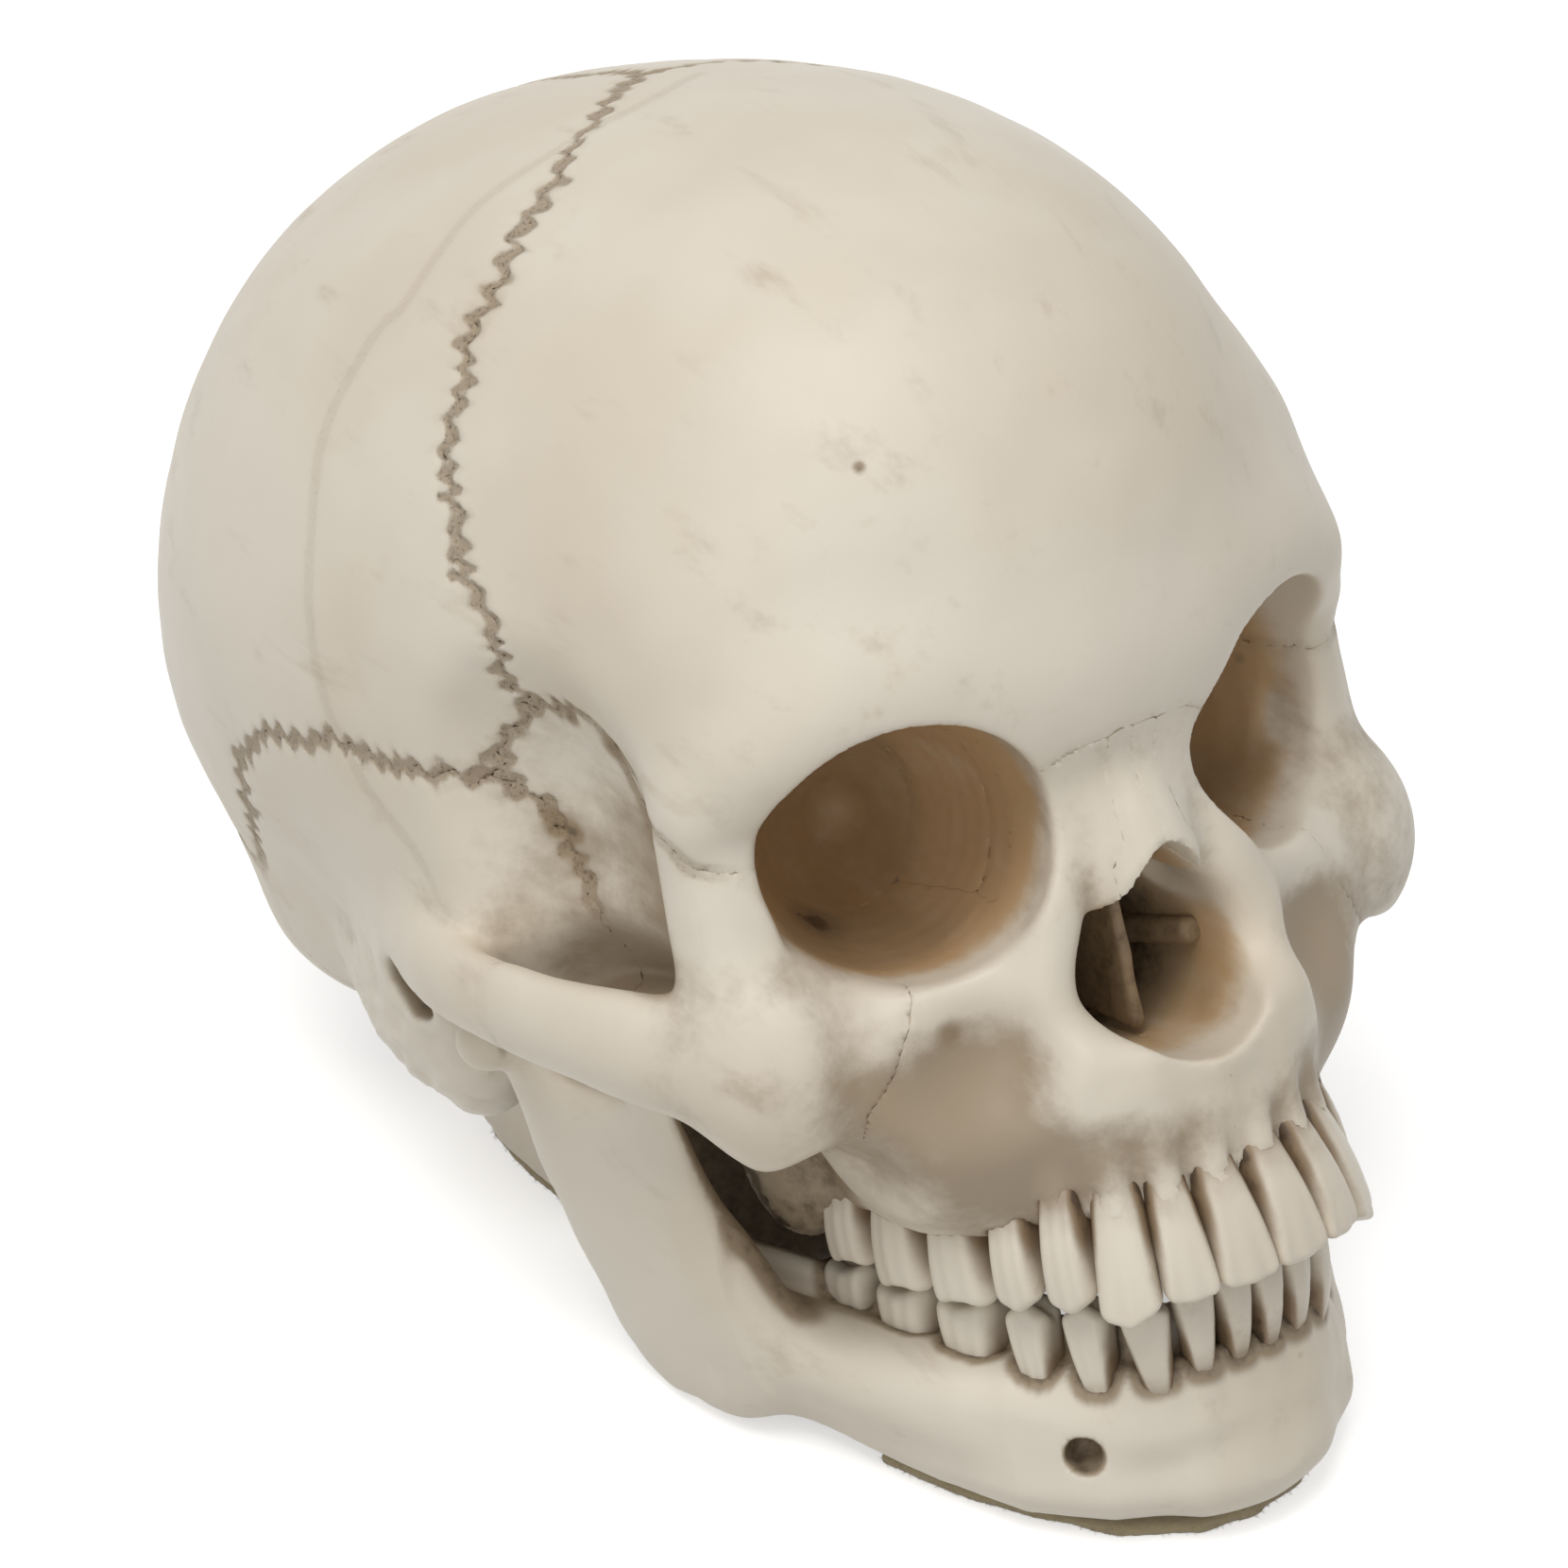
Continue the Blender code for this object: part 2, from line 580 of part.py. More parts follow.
JAW_BODY_SHARES = (
    (0, -0.487, -0.521, -0.363), (0.061, -0.48, -0.52, -0.363), (0.125, -0.449, -0.512, -0.354),
    (0.175, -0.401, -0.498, -0.335), (0.211, -0.341, -0.475, -0.319), (0.246, -0.264, -0.442, -0.297),
    (0.286, -0.187, -0.405, -0.28), (0.314, -0.121, -0.355, -0.253),
)
JAW_BODY_HALF_SHARES = (0.033, 0.034, 0.034, 0.032, 0.029, 0.025, 0.022, 0.019)
LOWER_ALVEOLAR_SHARES = (
    (0, -0.503, -0.448, -0.341), (0.057, -0.498, -0.448, -0.341), (0.104, -0.475, -0.448, -0.341),
    (0.136, -0.437, -0.448, -0.338), (0.164, -0.385, -0.442, -0.333), (0.186, -0.33, -0.436, -0.327),
    (0.207, -0.275, -0.424, -0.319), (0.229, -0.22, -0.4, -0.308),
)
LOWER_ALVEOLAR_HALF_SHARE = 0.025
CHIN_SHARES = ((0, -0.49, -0.482), (0.075, 0.033, 0.039))
RAMUS_BACK_SHARES = (
    (0.329, -0.115, -0.303, 0.044), (0.339, -0.102, -0.255, 0.044), (0.364, -0.088, -0.182, 0.041),
    (0.386, -0.077, -0.109, 0.03), (0.382, -0.069, -0.064, 0.02),
)
RAMUS_FRONT_SHARES = (
    (0.314, -0.192, -0.345, 0.049), (0.336, -0.198, -0.242, 0.044), (0.354, -0.206, -0.17, 0.031),
    (0.361, -0.212, -0.103, 0.019),
)
RAMUS_MIDDLE_SHARES = (
    (0.329, -0.143, -0.321, 0.06), (0.343, -0.143, -0.267, 0.063), (0.357, -0.143, -0.2, 0.049),
)
RAMUS_SQUASH_SHARE = 0.45
RAMUS_MIDDLE_SQUASH_SHARE = 0.35
HINGE_SHARES = (0, -0.069, -0.064)
CONDYLE_SHARES = (
    (0.343, -0.069, -0.064, 0.024), (0.382, -0.069, -0.064, 0.027), (0.421, -0.069, -0.064, 0.024),
)
MENTAL_HOLE_SHARES = ((0.196, -0.495, -0.442, 0.013), (0.154, -0.451, -0.436, 0.01))


def cast_jaw():
    halves = (LOWER_ALVEOLAR_HALF_SHARE,) * len(LOWER_ALVEOLAR_SHARES)
    left = [
        bar(RAMUS_BACK_SHARES, RAMUS_SQUASH_SHARE), bar(RAMUS_FRONT_SHARES, RAMUS_SQUASH_SHARE),
        bar(RAMUS_MIDDLE_SHARES, RAMUS_MIDDLE_SQUASH_SHARE), bar(CONDYLE_SHARES, detail=4),
    ]
    forms = [upright_wall(JAW_BODY_SHARES, JAW_BODY_HALF_SHARES), upright_wall(LOWER_ALVEOLAR_SHARES, halves),
             ellipsoid(*CHIN_SHARES)]
    forms += left + [mirror_copy(form) for form in left]
    jaw = thinned(fused(forms, "mandible", JAW_GRAIN, 4), JAW_TRIANGLES)
    hole = bar(MENTAL_HOLE_SHARES, detail=1)
    jaw = boolean(jaw, mirror_copy(hole))
    return boolean(jaw, hole)


# Hinge pins: pressed into the ear bone and turning in blind bores of the condyles

PIN_INNER_SHARE = 0.239
PIN_OUTER_SHARE = 0.396


def hinge_pin(name, grown=0.0):
    axis = at(HINGE_SHARES)
    start = Vector((PIN_INNER_SHARE * HEAD_BREADTH - grown, axis.y, axis.z))
    end = Vector((PIN_OUTER_SHARE * HEAD_BREADTH + grown, axis.y, axis.z))
    return rod(name, start, end, HINGE_PIN_RADIUS + grown)


# Neck block and pads, laid out in plan and resting on one level plane

NECK_CENTRE_SHARES = (0, 0.099, 0)
NECK_OUTER_SHARES = (0.264, 0.187, 0)
NECK_WELL_CENTRE_SHARES = (0, 0.066, 0)
NECK_WELL_SHARES = (0.093, 0.088, 0)
NECK_TOP_SHARE = -0.121
REST_PLACE_SHARES = (0, -0.44, -0.516)
NECK_SQUARENESS_SHARE = 0.5
PAD_INSET = 0.0012


def level_height(place, height):
    """The height, in the head's own axes, of a level plane of the resting skull under a place in plan."""
    return (height + math.sin(FACE_UP_TURN) * place.y) / math.cos(FACE_UP_TURN)


def plan_ring(centre_shares, radii_shares, squareness_share, grown, corners=28):
    centre, radii = at(centre_shares), at(radii_shares)
    ring = []
    for k in range(corners):
        c, s = math.cos(math.tau * k / corners), math.sin(math.tau * k / corners)
        ring.append(Vector((centre.x + (radii.x + grown) * math.copysign(abs(c) ** squareness_share, c),
                            centre.y + (radii.y + grown) * math.copysign(abs(s) ** squareness_share, s), 0)))
    return ring


def lifted(ring, heights):
    return [Vector((place.x, place.y, height)) for place, height in zip(ring, heights)]


def neck_ring(name, low, high, grown=0.0):
    """The neck's plan as an upright ring; low and high are its lower and upper heights by place."""
    outer = plan_ring(NECK_CENTRE_SHARES, NECK_OUTER_SHARES, NECK_SQUARENESS_SHARE, grown)
    inner = plan_ring(NECK_WELL_CENTRE_SHARES, NECK_WELL_SHARES, 1, -grown)
    rings = [lifted(ring, [height(place) for place in ring])
             for ring, height in ((outer, low), (outer, high), (inner, high), (inner, low))]
    return loft(rings, name, closed=True)


def rest_height():
    """The height of the level plane that the neck block and the jaw's border stand on."""
    place = at(REST_PLACE_SHARES)
    return place.z * math.cos(FACE_UP_TURN) - place.y * math.sin(FACE_UP_TURN)


def neck_block(name, grown=0.0):
    return neck_ring(name, lambda place: level_height(place, rest_height()),
                     lambda place: NECK_TOP_SHARE * HEAD_HEIGHT + grown, grown)


def neck_pad():
    top = rest_height() - SEAT_GAP
    return neck_ring("neck_felt_pad", lambda place: level_height(place, top - PAD_THICKNESS),
                     lambda place: level_height(place, top), -PAD_INSET)


JAW_PAD_SHARES = (
    (0, -0.473, 0), (0.057, -0.466, 0), (0.118, -0.436, 0), (0.166, -0.39, 0), (0.203, -0.335, 0),
    (0.233, -0.275, 0),
)
JAW_PAD_HALF_SHARE = 0.015


def jaw_pad():
    """A horseshoe of felt under the border of the jaw."""
    top = rest_height() - SEAT_GAP
    stations = [on_right(shares) for shares in reversed(JAW_PAD_SHARES[1:])] + list(JAW_PAD_SHARES)
    rings = []
    for i, shares in enumerate(stations):
        along = at(stations[min(i + 1, len(stations) - 1)]) - at(stations[max(i - 1, 0)])
        out = Vector((along.y, -along.x, 0)).normalized() * reach(JAW_PAD_HALF_SHARE)
        sides = (at(shares) - out, at(shares) + out)
        low = lifted(sides, [level_height(side, top - PAD_THICKNESS) for side in sides])
        high = lifted(sides, [level_height(side, top) for side in sides])
        rings.append((low[0], low[1], high[1], high[0]))
    return loft(rings, "jaw_felt_pad")


# Vomer and nasal conchae, let into the walls of the nose

CORNER_MITRE = 2
VOMER_OUTLINE_SHARES = ((0, -0.462, -0.116), (0, -0.462, 0.024), (0, -0.33, 0.006), (0, -0.308, -0.097))
CONCHA_SHARES = (
    (0.08, -0.462, -0.055, 0.009), (0.074, -0.401, -0.061, 0.009), (0.061, -0.341, -0.061, 0.009),
)


def vomer(name, grown=0.0):
    middle = sum((at(shares) for shares in VOMER_OUTLINE_SHARES), Vector()) / len(VOMER_OUTLINE_SHARES)
    outline = []
    for shares in VOMER_OUTLINE_SHARES:
        corner = at(shares)
        outline.append(corner + (corner - middle).normalized() * grown * CORNER_MITRE)
    half = Vector((VOMER_THICKNESS / 2 + grown, 0, 0))
    return loft(([corner - half for corner in outline], [corner + half for corner in outline]), name)


def concha(name, grown=0.0):
    return bar(CONCHA_SHARES, detail=1, grown=grown)


# Sutures: thin cuts that divide the cranium into its bones. Radial ones run from the middle of the head.

SUTURE_CENTRE_SHARES = (0, 0, 0.273)
INNER_REACH_SHARE = 0.5
OUTER_REACH_SHARE = 1.35
CORONAL_SHARES = (
    (0.4, -0.212, 0.245), (0.426, -0.232, 0.315), (0.43, -0.205, 0.385), (0.41, -0.193, 0.45),
    (0.341, -0.18, 0.54), (0.21, -0.165, 0.629), (0.12, -0.122, 0.664), (0, -0.062, 0.679),
)
SAGITTAL_SHARES = (
    (0, -0.062, 0.679), (0, 0.066, 0.673), (0, 0.242, 0.594), (0, 0.385, 0.376),
)
LAMBDOID_SHARES = (
    (0, 0.385, 0.376), (0.143, 0.385, 0.303), (0.271, 0.341, 0.194), (0.415, 0.24, 0.05),
)
SQUAMOSAL_SHARES = (
    (0.398, -0.163, 0.173), (0.454, -0.118, 0.196), (0.488, -0.027, 0.215), (0.495, 0.06, 0.216),
    (0.486, 0.127, 0.186), (0.463, 0.173, 0.122), (0.415, 0.24, 0.05),
)
TEMPLE_SHARES = (
    (0.4, -0.212, 0.245), (0.404, -0.178, 0.208), (0.398, -0.163, 0.173),
)
BROW_SUTURE_SHARES = (
    (0.4, -0.212, 0.245), (0.384, -0.282, 0.235), (0.37, -0.32, 0.193), (0.383, -0.378, 0.125),
    (0.214, -0.44, 0.079), (0.064, -0.484, 0.158), (0, -0.492, 0.161),
)
SPHENOID_SIDE_SHARES = (
    (0.398, -0.163, 0.173), (0.37, -0.195, 0.125), (0.352, -0.2, 0.05), (0.325, -0.187, -0.012),
    (0.257, -0.143, -0.097), (0.171, -0.11, -0.121), (0.093, -0.099, -0.133),
)
OCCIPITAL_SIDE_SHARES = (
    (0.415, 0.24, 0.05), (0.385, 0.235, -0.015), (0.345, 0.2, -0.06), (0.271, 0.154, -0.109),
    (0.236, 0.055, -0.121), (0.157, -0.033, -0.133), (0.093, -0.099, -0.133),
)
CLIVUS_SHARES = ((0.093, -0.099, -0.133), (-0.093, -0.099, -0.133))
FACE_BACK_SHARES = ((0, -0.297, -0.076), (0, -0.297, -0.079), (0, -0.251, -0.079), (0, -0.251, -0.291))
FACE_BACK_OUTLINE_SHARES = (
    (-0.42, -0.297, -0.079), (-0.42, -0.297, 0.24), (-0.395, -0.297, 0.24), (-0.343, -0.297, 0.208),
    (-0.301, -0.297, 0.168), (-0.214, -0.297, 0.158), (-0.143, -0.297, 0.15), (-0.064, -0.297, 0.194),
    (0, -0.297, 0.212), (0.064, -0.297, 0.194), (0.143, -0.297, 0.15), (0.214, -0.297, 0.158),
    (0.301, -0.297, 0.168), (0.343, -0.297, 0.208), (0.395, -0.297, 0.24), (0.42, -0.297, 0.24),
    (0.42, -0.297, -0.079),
)
FACE_BACK_HALF_SHARE = 0.4
CHEEK_SUTURE_SHARES = ((0.193, 0, 0.048), (0.271, 0, -0.073), (0.386, 0, -0.255))
CHEEK_SUTURE_REACH_SHARES = (-0.549, -0.291)
ARCH_SUTURE_SHARES = ((0.4, -0.198, 0), (0.543, -0.176, 0))
ARCH_SUTURE_HEIGHT_SHARES = (-0.085, 0.085)


def extended(places):
    """Runs the ends of a cut on by the overrun, so that it meets its neighbours."""
    first = places[0] + (places[0] - places[1]).normalized() * OVERRUN
    last = places[-1] + (places[-1] - places[-2]).normalized() * OVERRUN
    return [first, *places, last]


def radial_cut(shares):
    middle = at(SUTURE_CENTRE_SHARES)
    places = extended([at(share) for share in shares])
    return sheet([[middle + (place - middle) * run for place in places]
                  for run in (INNER_REACH_SHARE, OUTER_REACH_SHARE)])


def flat_cut(corner_shares):
    """A flat cut with the given outline."""
    bm = bmesh.new()
    bm.faces.new([bm.verts.new(at(shares)) for shares in corner_shares])
    cut = object_from(bm, "cut")
    thicken = cut.modifiers.new("thicken", "SOLIDIFY")
    thicken.thickness = KERF
    thicken.offset = 0
    return baked(cut)


MIDLINE_OUTLINE_SHARES = (
    (0, -0.615, -0.303), (0, -0.615, 0.164), (0, -0.495, 0.164), (0, -0.423, 0.176), (0, -0.423, 0.019),
    (0, -0.242, 0.019), (0, -0.242, -0.303),
)
NASAL_SIDE_SHARES = ((0.029, 0, 0.158), (0.03, 0, 0.133), (0.04, 0, 0.024), (0.041, 0, 0.006))
NASAL_SIDE_REACH_SHARES = (-0.582, -0.451)
NASAL_BACK_SHARES = ((0, -0.453, 0.176), (0, -0.508, 0.018))
NASAL_BACK_HALF_SHARE = 0.041
ETHMOID_FLOOR_SHARES = (
    (-0.171, -0.429, 0.018), (0.171, -0.429, 0.018), (0.171, -0.297, 0.018), (-0.171, -0.297, 0.018),
)
ETHMOID_FRONT_SHARES = (
    (-0.114, -0.429, 0.018), (0.114, -0.429, 0.018), (0.114, -0.429, 0.188), (-0.114, -0.429, 0.188),
)
LACRIMAL_BACK_SHARES = (
    (0.036, -0.396, 0.015), (0.143, -0.396, 0.015), (0.143, -0.396, 0.188), (0.036, -0.396, 0.188),
)
LACRIMAL_SIDE_SHARES = (
    (0.036, -0.431, 0.015), (0.036, -0.393, 0.015), (0.036, -0.393, 0.188), (0.036, -0.431, 0.188),
)
PALATINE_FRONT_SHARES = (
    (-0.107, -0.346, -0.291), (0.107, -0.346, -0.291), (0.107, -0.346, -0.048), (-0.107, -0.346, -0.048),
)
PALATINE_SIDE_SHARES = (
    (0.107, -0.349, -0.291), (0.107, -0.349, -0.048), (0.107, -0.247, -0.048), (0.107, -0.247, -0.291),
)
PALATINE_TOP_SHARES = (
    (-0.111, -0.349, -0.048), (0.111, -0.349, -0.048), (0.111, -0.247, -0.048), (-0.111, -0.247, -0.048),
)


def swept_cut(profile_shares, sweep):
    """A cut along a profile, swept between two steps."""
    places = extended([at(shares) for shares in profile_shares])
    return sheet([[place + step for place in places] for step in sweep])


def suture_cuts():
    """All cuts, the paired ones on both sides."""
    radial = (CORONAL_SHARES, LAMBDOID_SHARES, SQUAMOSAL_SHARES, TEMPLE_SHARES, BROW_SUTURE_SHARES,
              SPHENOID_SIDE_SHARES, OCCIPITAL_SIDE_SHARES)
    paired = [radial_cut(shares) for shares in radial]
    reach_steps = [Vector((0, share * HEAD_LENGTH, 0)) for share in CHEEK_SUTURE_REACH_SHARES]
    paired.append(swept_cut(CHEEK_SUTURE_SHARES, reach_steps))
    height_steps = [Vector((0, 0, share * HEAD_HEIGHT)) for share in ARCH_SUTURE_HEIGHT_SHARES]
    paired.append(swept_cut(ARCH_SUTURE_SHARES, height_steps))
    nasal_steps = [Vector((0, share * HEAD_LENGTH, 0)) for share in NASAL_SIDE_REACH_SHARES]
    paired.append(swept_cut(NASAL_SIDE_SHARES, nasal_steps))
    paired += [flat_cut(LACRIMAL_BACK_SHARES), flat_cut(LACRIMAL_SIDE_SHARES), flat_cut(PALATINE_SIDE_SHARES)]
    cuts = paired + [mirror_copy(cut) for cut in paired]
    cuts += [radial_cut(SAGITTAL_SHARES), radial_cut(CLIVUS_SHARES)]
    half = FACE_BACK_HALF_SHARE * HEAD_BREADTH
    cuts.append(swept_cut(FACE_BACK_SHARES, (Vector((-half, 0, 0)), Vector((half, 0, 0)))))
    half = NASAL_BACK_HALF_SHARE * HEAD_BREADTH
    cuts.append(swept_cut(NASAL_BACK_SHARES, (Vector((-half, 0, 0)), Vector((half, 0, 0)))))
    flat = (MIDLINE_OUTLINE_SHARES, FACE_BACK_OUTLINE_SHARES, ETHMOID_FLOOR_SHARES, ETHMOID_FRONT_SHARES,
            PALATINE_FRONT_SHARES, PALATINE_TOP_SHARES)
    return cuts + [flat_cut(shares) for shares in flat]


# Bones by the middle of their solids, from which each loose piece of the cut cranium takes its name

BONE_PLACE_SHARES = {
    "frontal_bone": (0, -0.308, 0.376),
    "occipital_bone": (0, 0.319, 0.085),
    "sphenoid_bone": (0, -0.209, -0.024),
    "ethmoid_bone": (0, -0.357, 0.085),
    "parietal_bone_left": (0.257, 0.165, 0.436),
    "temporal_bone_left": (0.357, 0.033, 0.012),
    "maxilla_left": (0.143, -0.418, -0.133),
    "zygomatic_bone_left": (0.379, -0.352, -0.024),
    "nasal_bone_left": (0.019, -0.511, 0.109),
    "lacrimal_bone_left": (0.057, -0.412, 0.097),
    "palatine_bone_left": (0.057, -0.302, -0.121),
}
CRUMB_SHARE = 0.003


def with_sides(table):
    """Adds the right side's names to a table of middle and left ones."""
    full = dict(table)
    for name, shares in table.items():
        if name.endswith("_left"):
            full[name[:-len("left")] + "right"] = on_right(shares)
    return full


def loose_pieces(thing):
    """Splits an object into its closed parts, leaving out crumbs."""
    bm = bmesh.new()
    bm.from_mesh(thing.data)
    bpy.data.objects.remove(thing, do_unlink=True)
    seen = set()
    pieces = []
    for start in bm.faces:
        if start in seen:
            continue
        seen.add(start)
        island = [start]
        for reached in island:
            for edge in reached.edges:
                for face in edge.link_faces:
                    if face not in seen:
                        seen.add(face)
                        island.append(face)
        piece = bmesh.new()
        copies = {}
        for face in island:
            for vert in face.verts:
                if vert not in copies:
                    copies[vert] = piece.verts.new(vert.co)
            piece.faces.new([copies[vert] for vert in face.verts])
        if piece.calc_volume() > (CRUMB_SHARE * HEAD_LENGTH) ** 3:
            pieces.append(piece)
        else:
            piece.free()
    bm.free()
    return pieces


def middle_of(piece):
    total = Vector()
    weight = 0.0
    for face in piece.faces:
        area = face.calc_area()
        total += face.calc_center_median() * area
        weight += area
    return total / weight


def divided(cranium):
    """The bones of the cranium, by name."""
    for cut in suture_cuts():
        cranium = boolean(cranium, cut, solver="MANIFOLD")
    pieces = loose_pieces(cranium)
    places = [middle_of(piece) for piece in pieces]
    bones = {}
    for name, shares in with_sides(BONE_PLACE_SHARES).items():
        nearest = min(range(len(pieces)), key=lambda i: (places[i] - at(shares)).length)
        bones[name] = object_from(pieces[nearest].copy(), name)
    return bones


# Assembly


def box_of(thing):
    corners = [Vector(corner) for corner in thing.bound_box]
    return [min(c[i] for c in corners) for i in range(3)], [max(c[i] for c in corners) for i in range(3)]


def let_in(bones, pocket):
    """Cuts a pocket from every bone that it reaches."""
    low, high = box_of(pocket)
    for name, bone in bones.items():
        bone_low, bone_high = box_of(bone)
        if all(bone_low[i] < high[i] and low[i] < bone_high[i] for i in range(3)):
            bones[name] = boolean(bone, pocket, keep=True, solver="MANIFOLD")
            bones[name].name = name
    bpy.data.objects.remove(pocket, do_unlink=True)


def finished(thing, name, material):
    thing.name = name
    thing.data.name = name
    thing.data.materials.clear()
    thing.data.materials.append(material)
    return thing


def build():
    bones = divided(thinned(carved(cast_cranium()), CRANIUM_TRIANGLES))
    jaw = {"mandible": cast_jaw()}
    teeth = all_teeth()
    for name, socket in all_teeth(SEAT_GAP).items():
        let_in(bones if name.startswith("upper") else jaw, socket)
    fittings = {}
    vomer_piece = vomer("vomer")
    let_in(bones, vomer("pocket", SEAT_GAP))
    for side in ("left", "right"):
        fittings[f"inferior_concha_{side}"] = sided(concha("concha"), side)
        let_in(bones, sided(concha("pocket", SEAT_GAP), side))
        fittings[f"hinge_pin_{side}"] = sided(hinge_pin("pin"), side)
        let_in(bones, sided(hinge_pin("bore", HINGE_PIN_GAP), side))
        let_in(jaw, sided(hinge_pin("bore", HINGE_PIN_GAP), side))
    let_in(bones, neck_block("pocket", SEAT_GAP))
    cranium_pieces = [finished(bone, name, bone_resin()) for name, bone in bones.items()]
    cranium_pieces.append(finished(vomer_piece, "vomer", bone_resin()))
    cranium_pieces.append(finished(neck_block("block"), "neck_support_block", bone_resin()))
    cranium_pieces.append(finished(neck_pad(), "neck_felt_pad", pad_felt()))
    for name, piece in fittings.items():
        cranium_pieces.append(finished(piece, name, pin_steel() if "pin" in name else bone_resin()))
    jaw_pieces = [finished(jaw_pad(), "jaw_felt_pad", pad_felt())]
    for name, piece in teeth.items():
        group = cranium_pieces if name.startswith("upper") else jaw_pieces
        group.append(finished(piece, name, tooth_resin()))
    mandible = finished(jaw["mandible"], "mandible", bone_resin())
    rest_and_join(cranium_pieces, jaw_pieces, mandible)


def rest_and_join(cranium_pieces, jaw_pieces, mandible):
    """Turns the skull face up onto its pads. The jaw turns about its own origin and carries its pieces."""
    pieces = (*cranium_pieces, *jaw_pieces, mandible)
    face_up = Matrix.Rotation(-FACE_UP_TURN, 4, "X")
    spots = [box_of_mesh(piece.data, face_up) for piece in pieces]
    middle = (min(low.y for low, high in spots) + max(high.y for low, high in spots)) / 2
    lift = rest_height() - SEAT_GAP - PAD_THICKNESS
    rest = Matrix.Translation((0, -middle, -lift)) @ face_up
    hinge = rest @ Vector((0, at(HINGE_SHARES).y, at(HINGE_SHARES).z))
    for piece in pieces:
        piece.data.transform(rest)
        low, high = box_of_mesh(piece.data)
        place = hinge if piece is mandible else (low + high) / 2
        piece.data.transform(Matrix.Translation(-place))
        piece.location = place
    for piece in jaw_pieces:
        piece.parent = mandible
        piece.location = piece.location - hinge


def box_of_mesh(mesh, turn=Matrix()):
    spots = np.array([turn @ vert.co for vert in mesh.vertices])
    return Vector(spots.min(axis=0)), Vector(spots.max(axis=0))


build()
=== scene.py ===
import math

import bmesh
import bpy
import numpy as np
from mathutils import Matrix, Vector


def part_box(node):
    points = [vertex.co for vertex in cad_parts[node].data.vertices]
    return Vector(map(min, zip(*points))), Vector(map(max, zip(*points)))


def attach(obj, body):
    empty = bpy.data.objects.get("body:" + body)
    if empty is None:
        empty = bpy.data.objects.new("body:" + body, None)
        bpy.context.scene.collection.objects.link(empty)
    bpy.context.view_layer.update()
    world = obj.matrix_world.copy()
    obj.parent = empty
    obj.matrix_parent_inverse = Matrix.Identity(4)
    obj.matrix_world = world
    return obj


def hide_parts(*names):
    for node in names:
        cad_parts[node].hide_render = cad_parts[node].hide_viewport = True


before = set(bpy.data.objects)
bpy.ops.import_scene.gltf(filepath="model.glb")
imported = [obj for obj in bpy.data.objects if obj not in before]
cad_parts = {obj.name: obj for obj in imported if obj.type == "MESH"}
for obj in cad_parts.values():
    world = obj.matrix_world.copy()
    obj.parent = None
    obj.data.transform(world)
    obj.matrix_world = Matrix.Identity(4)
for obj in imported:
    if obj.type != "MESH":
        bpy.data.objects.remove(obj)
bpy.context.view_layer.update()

import openvdb
from mathutils import Vector

scene = bpy.context.scene

# Camera. A long lens on a level stand looks down at the right front of the skull from about
# 0.8 m, so that the vault fills the upper left of the picture and the chin its lower right.
CAMERA_AZIMUTH = math.radians(-36.39)
CAMERA_ELEVATION = math.radians(31.39)
CAMERA_DISTANCE = 0.8074
CAMERA_TARGET = Vector((0, 0.0031, 0.0636))
away = Vector((math.sin(CAMERA_AZIMUTH) * math.cos(CAMERA_ELEVATION),
               -math.cos(CAMERA_AZIMUTH) * math.cos(CAMERA_ELEVATION), math.sin(CAMERA_ELEVATION)))
lens = bpy.data.cameras.new("camera")
lens.lens = 128.45
lens.sensor_width = 36
camera = bpy.data.objects.new("camera", lens)
camera.location = CAMERA_TARGET + away * CAMERA_DISTANCE
camera.rotation_euler = away.to_track_quat("Z", "Y").to_euler()
scene.collection.objects.link(camera)
scene.camera = camera

# Studio. A wide white sheet lies under the skull. A large soft lamp hangs above it to the left,
# a weaker one stands low to the left, and the white surroundings fill the shadows evenly.
scene.view_settings.view_transform = "Standard"


def node(tree, kind, inputs=(), **settings):
    """Adds a shader node. Inputs go by name or number, each from a value or another node's socket."""
    made = tree.nodes.new(kind)
    for name, value in settings.items():
        setattr(made, name, value)
    for key, value in dict(inputs).items():
        if isinstance(value, bpy.types.NodeSocket):
            tree.links.new(value, made.inputs[key])
        else:
            made.inputs[key].default_value = value
    return made


def mixed(tree, factor, first, second):
    """A blend of two colours."""
    made = tree.nodes.new("ShaderNodeMix")
    made.data_type = "RGBA"
    for socket, value in zip((made.inputs[0], made.inputs[6], made.inputs[7]), (factor, first, second)):
        if isinstance(value, bpy.types.NodeSocket):
            tree.links.new(value, socket)
        else:
            socket.default_value = value
    return made.outputs[2]


def seen_directly(tree):
    """1 where the camera or a reflection sees the surface, 0 where it only sends light on."""
    path = node(tree, "ShaderNodeLightPath")
    return node(tree, "ShaderNodeMath", {0: path.outputs["Is Camera Ray"], 1: path.outputs["Is Glossy Ray"]},
                operation="MAXIMUM").outputs[0]


def new_material(name, inputs):
    """A material, its tree and its shader, with plain values set on the shader."""
    made = bpy.data.materials.new(name)
    made.use_nodes = True
    shader = made.node_tree.nodes["Principled BSDF"]
    for label, value in inputs.items():
        shader.inputs[label].default_value = value
    return made, made.node_tree, shader


def lamp(name, place, power, size, colour):
    light = bpy.data.lights.new(name, "AREA")
    light.energy = power
    light.size = size
    light.color = colour
    holder = bpy.data.objects.new(name, light)
    holder.location = place
    holder.rotation_euler = (Vector(place) - CAMERA_TARGET).to_track_quat("Z", "Y").to_euler()
    scene.collection.objects.link(holder)


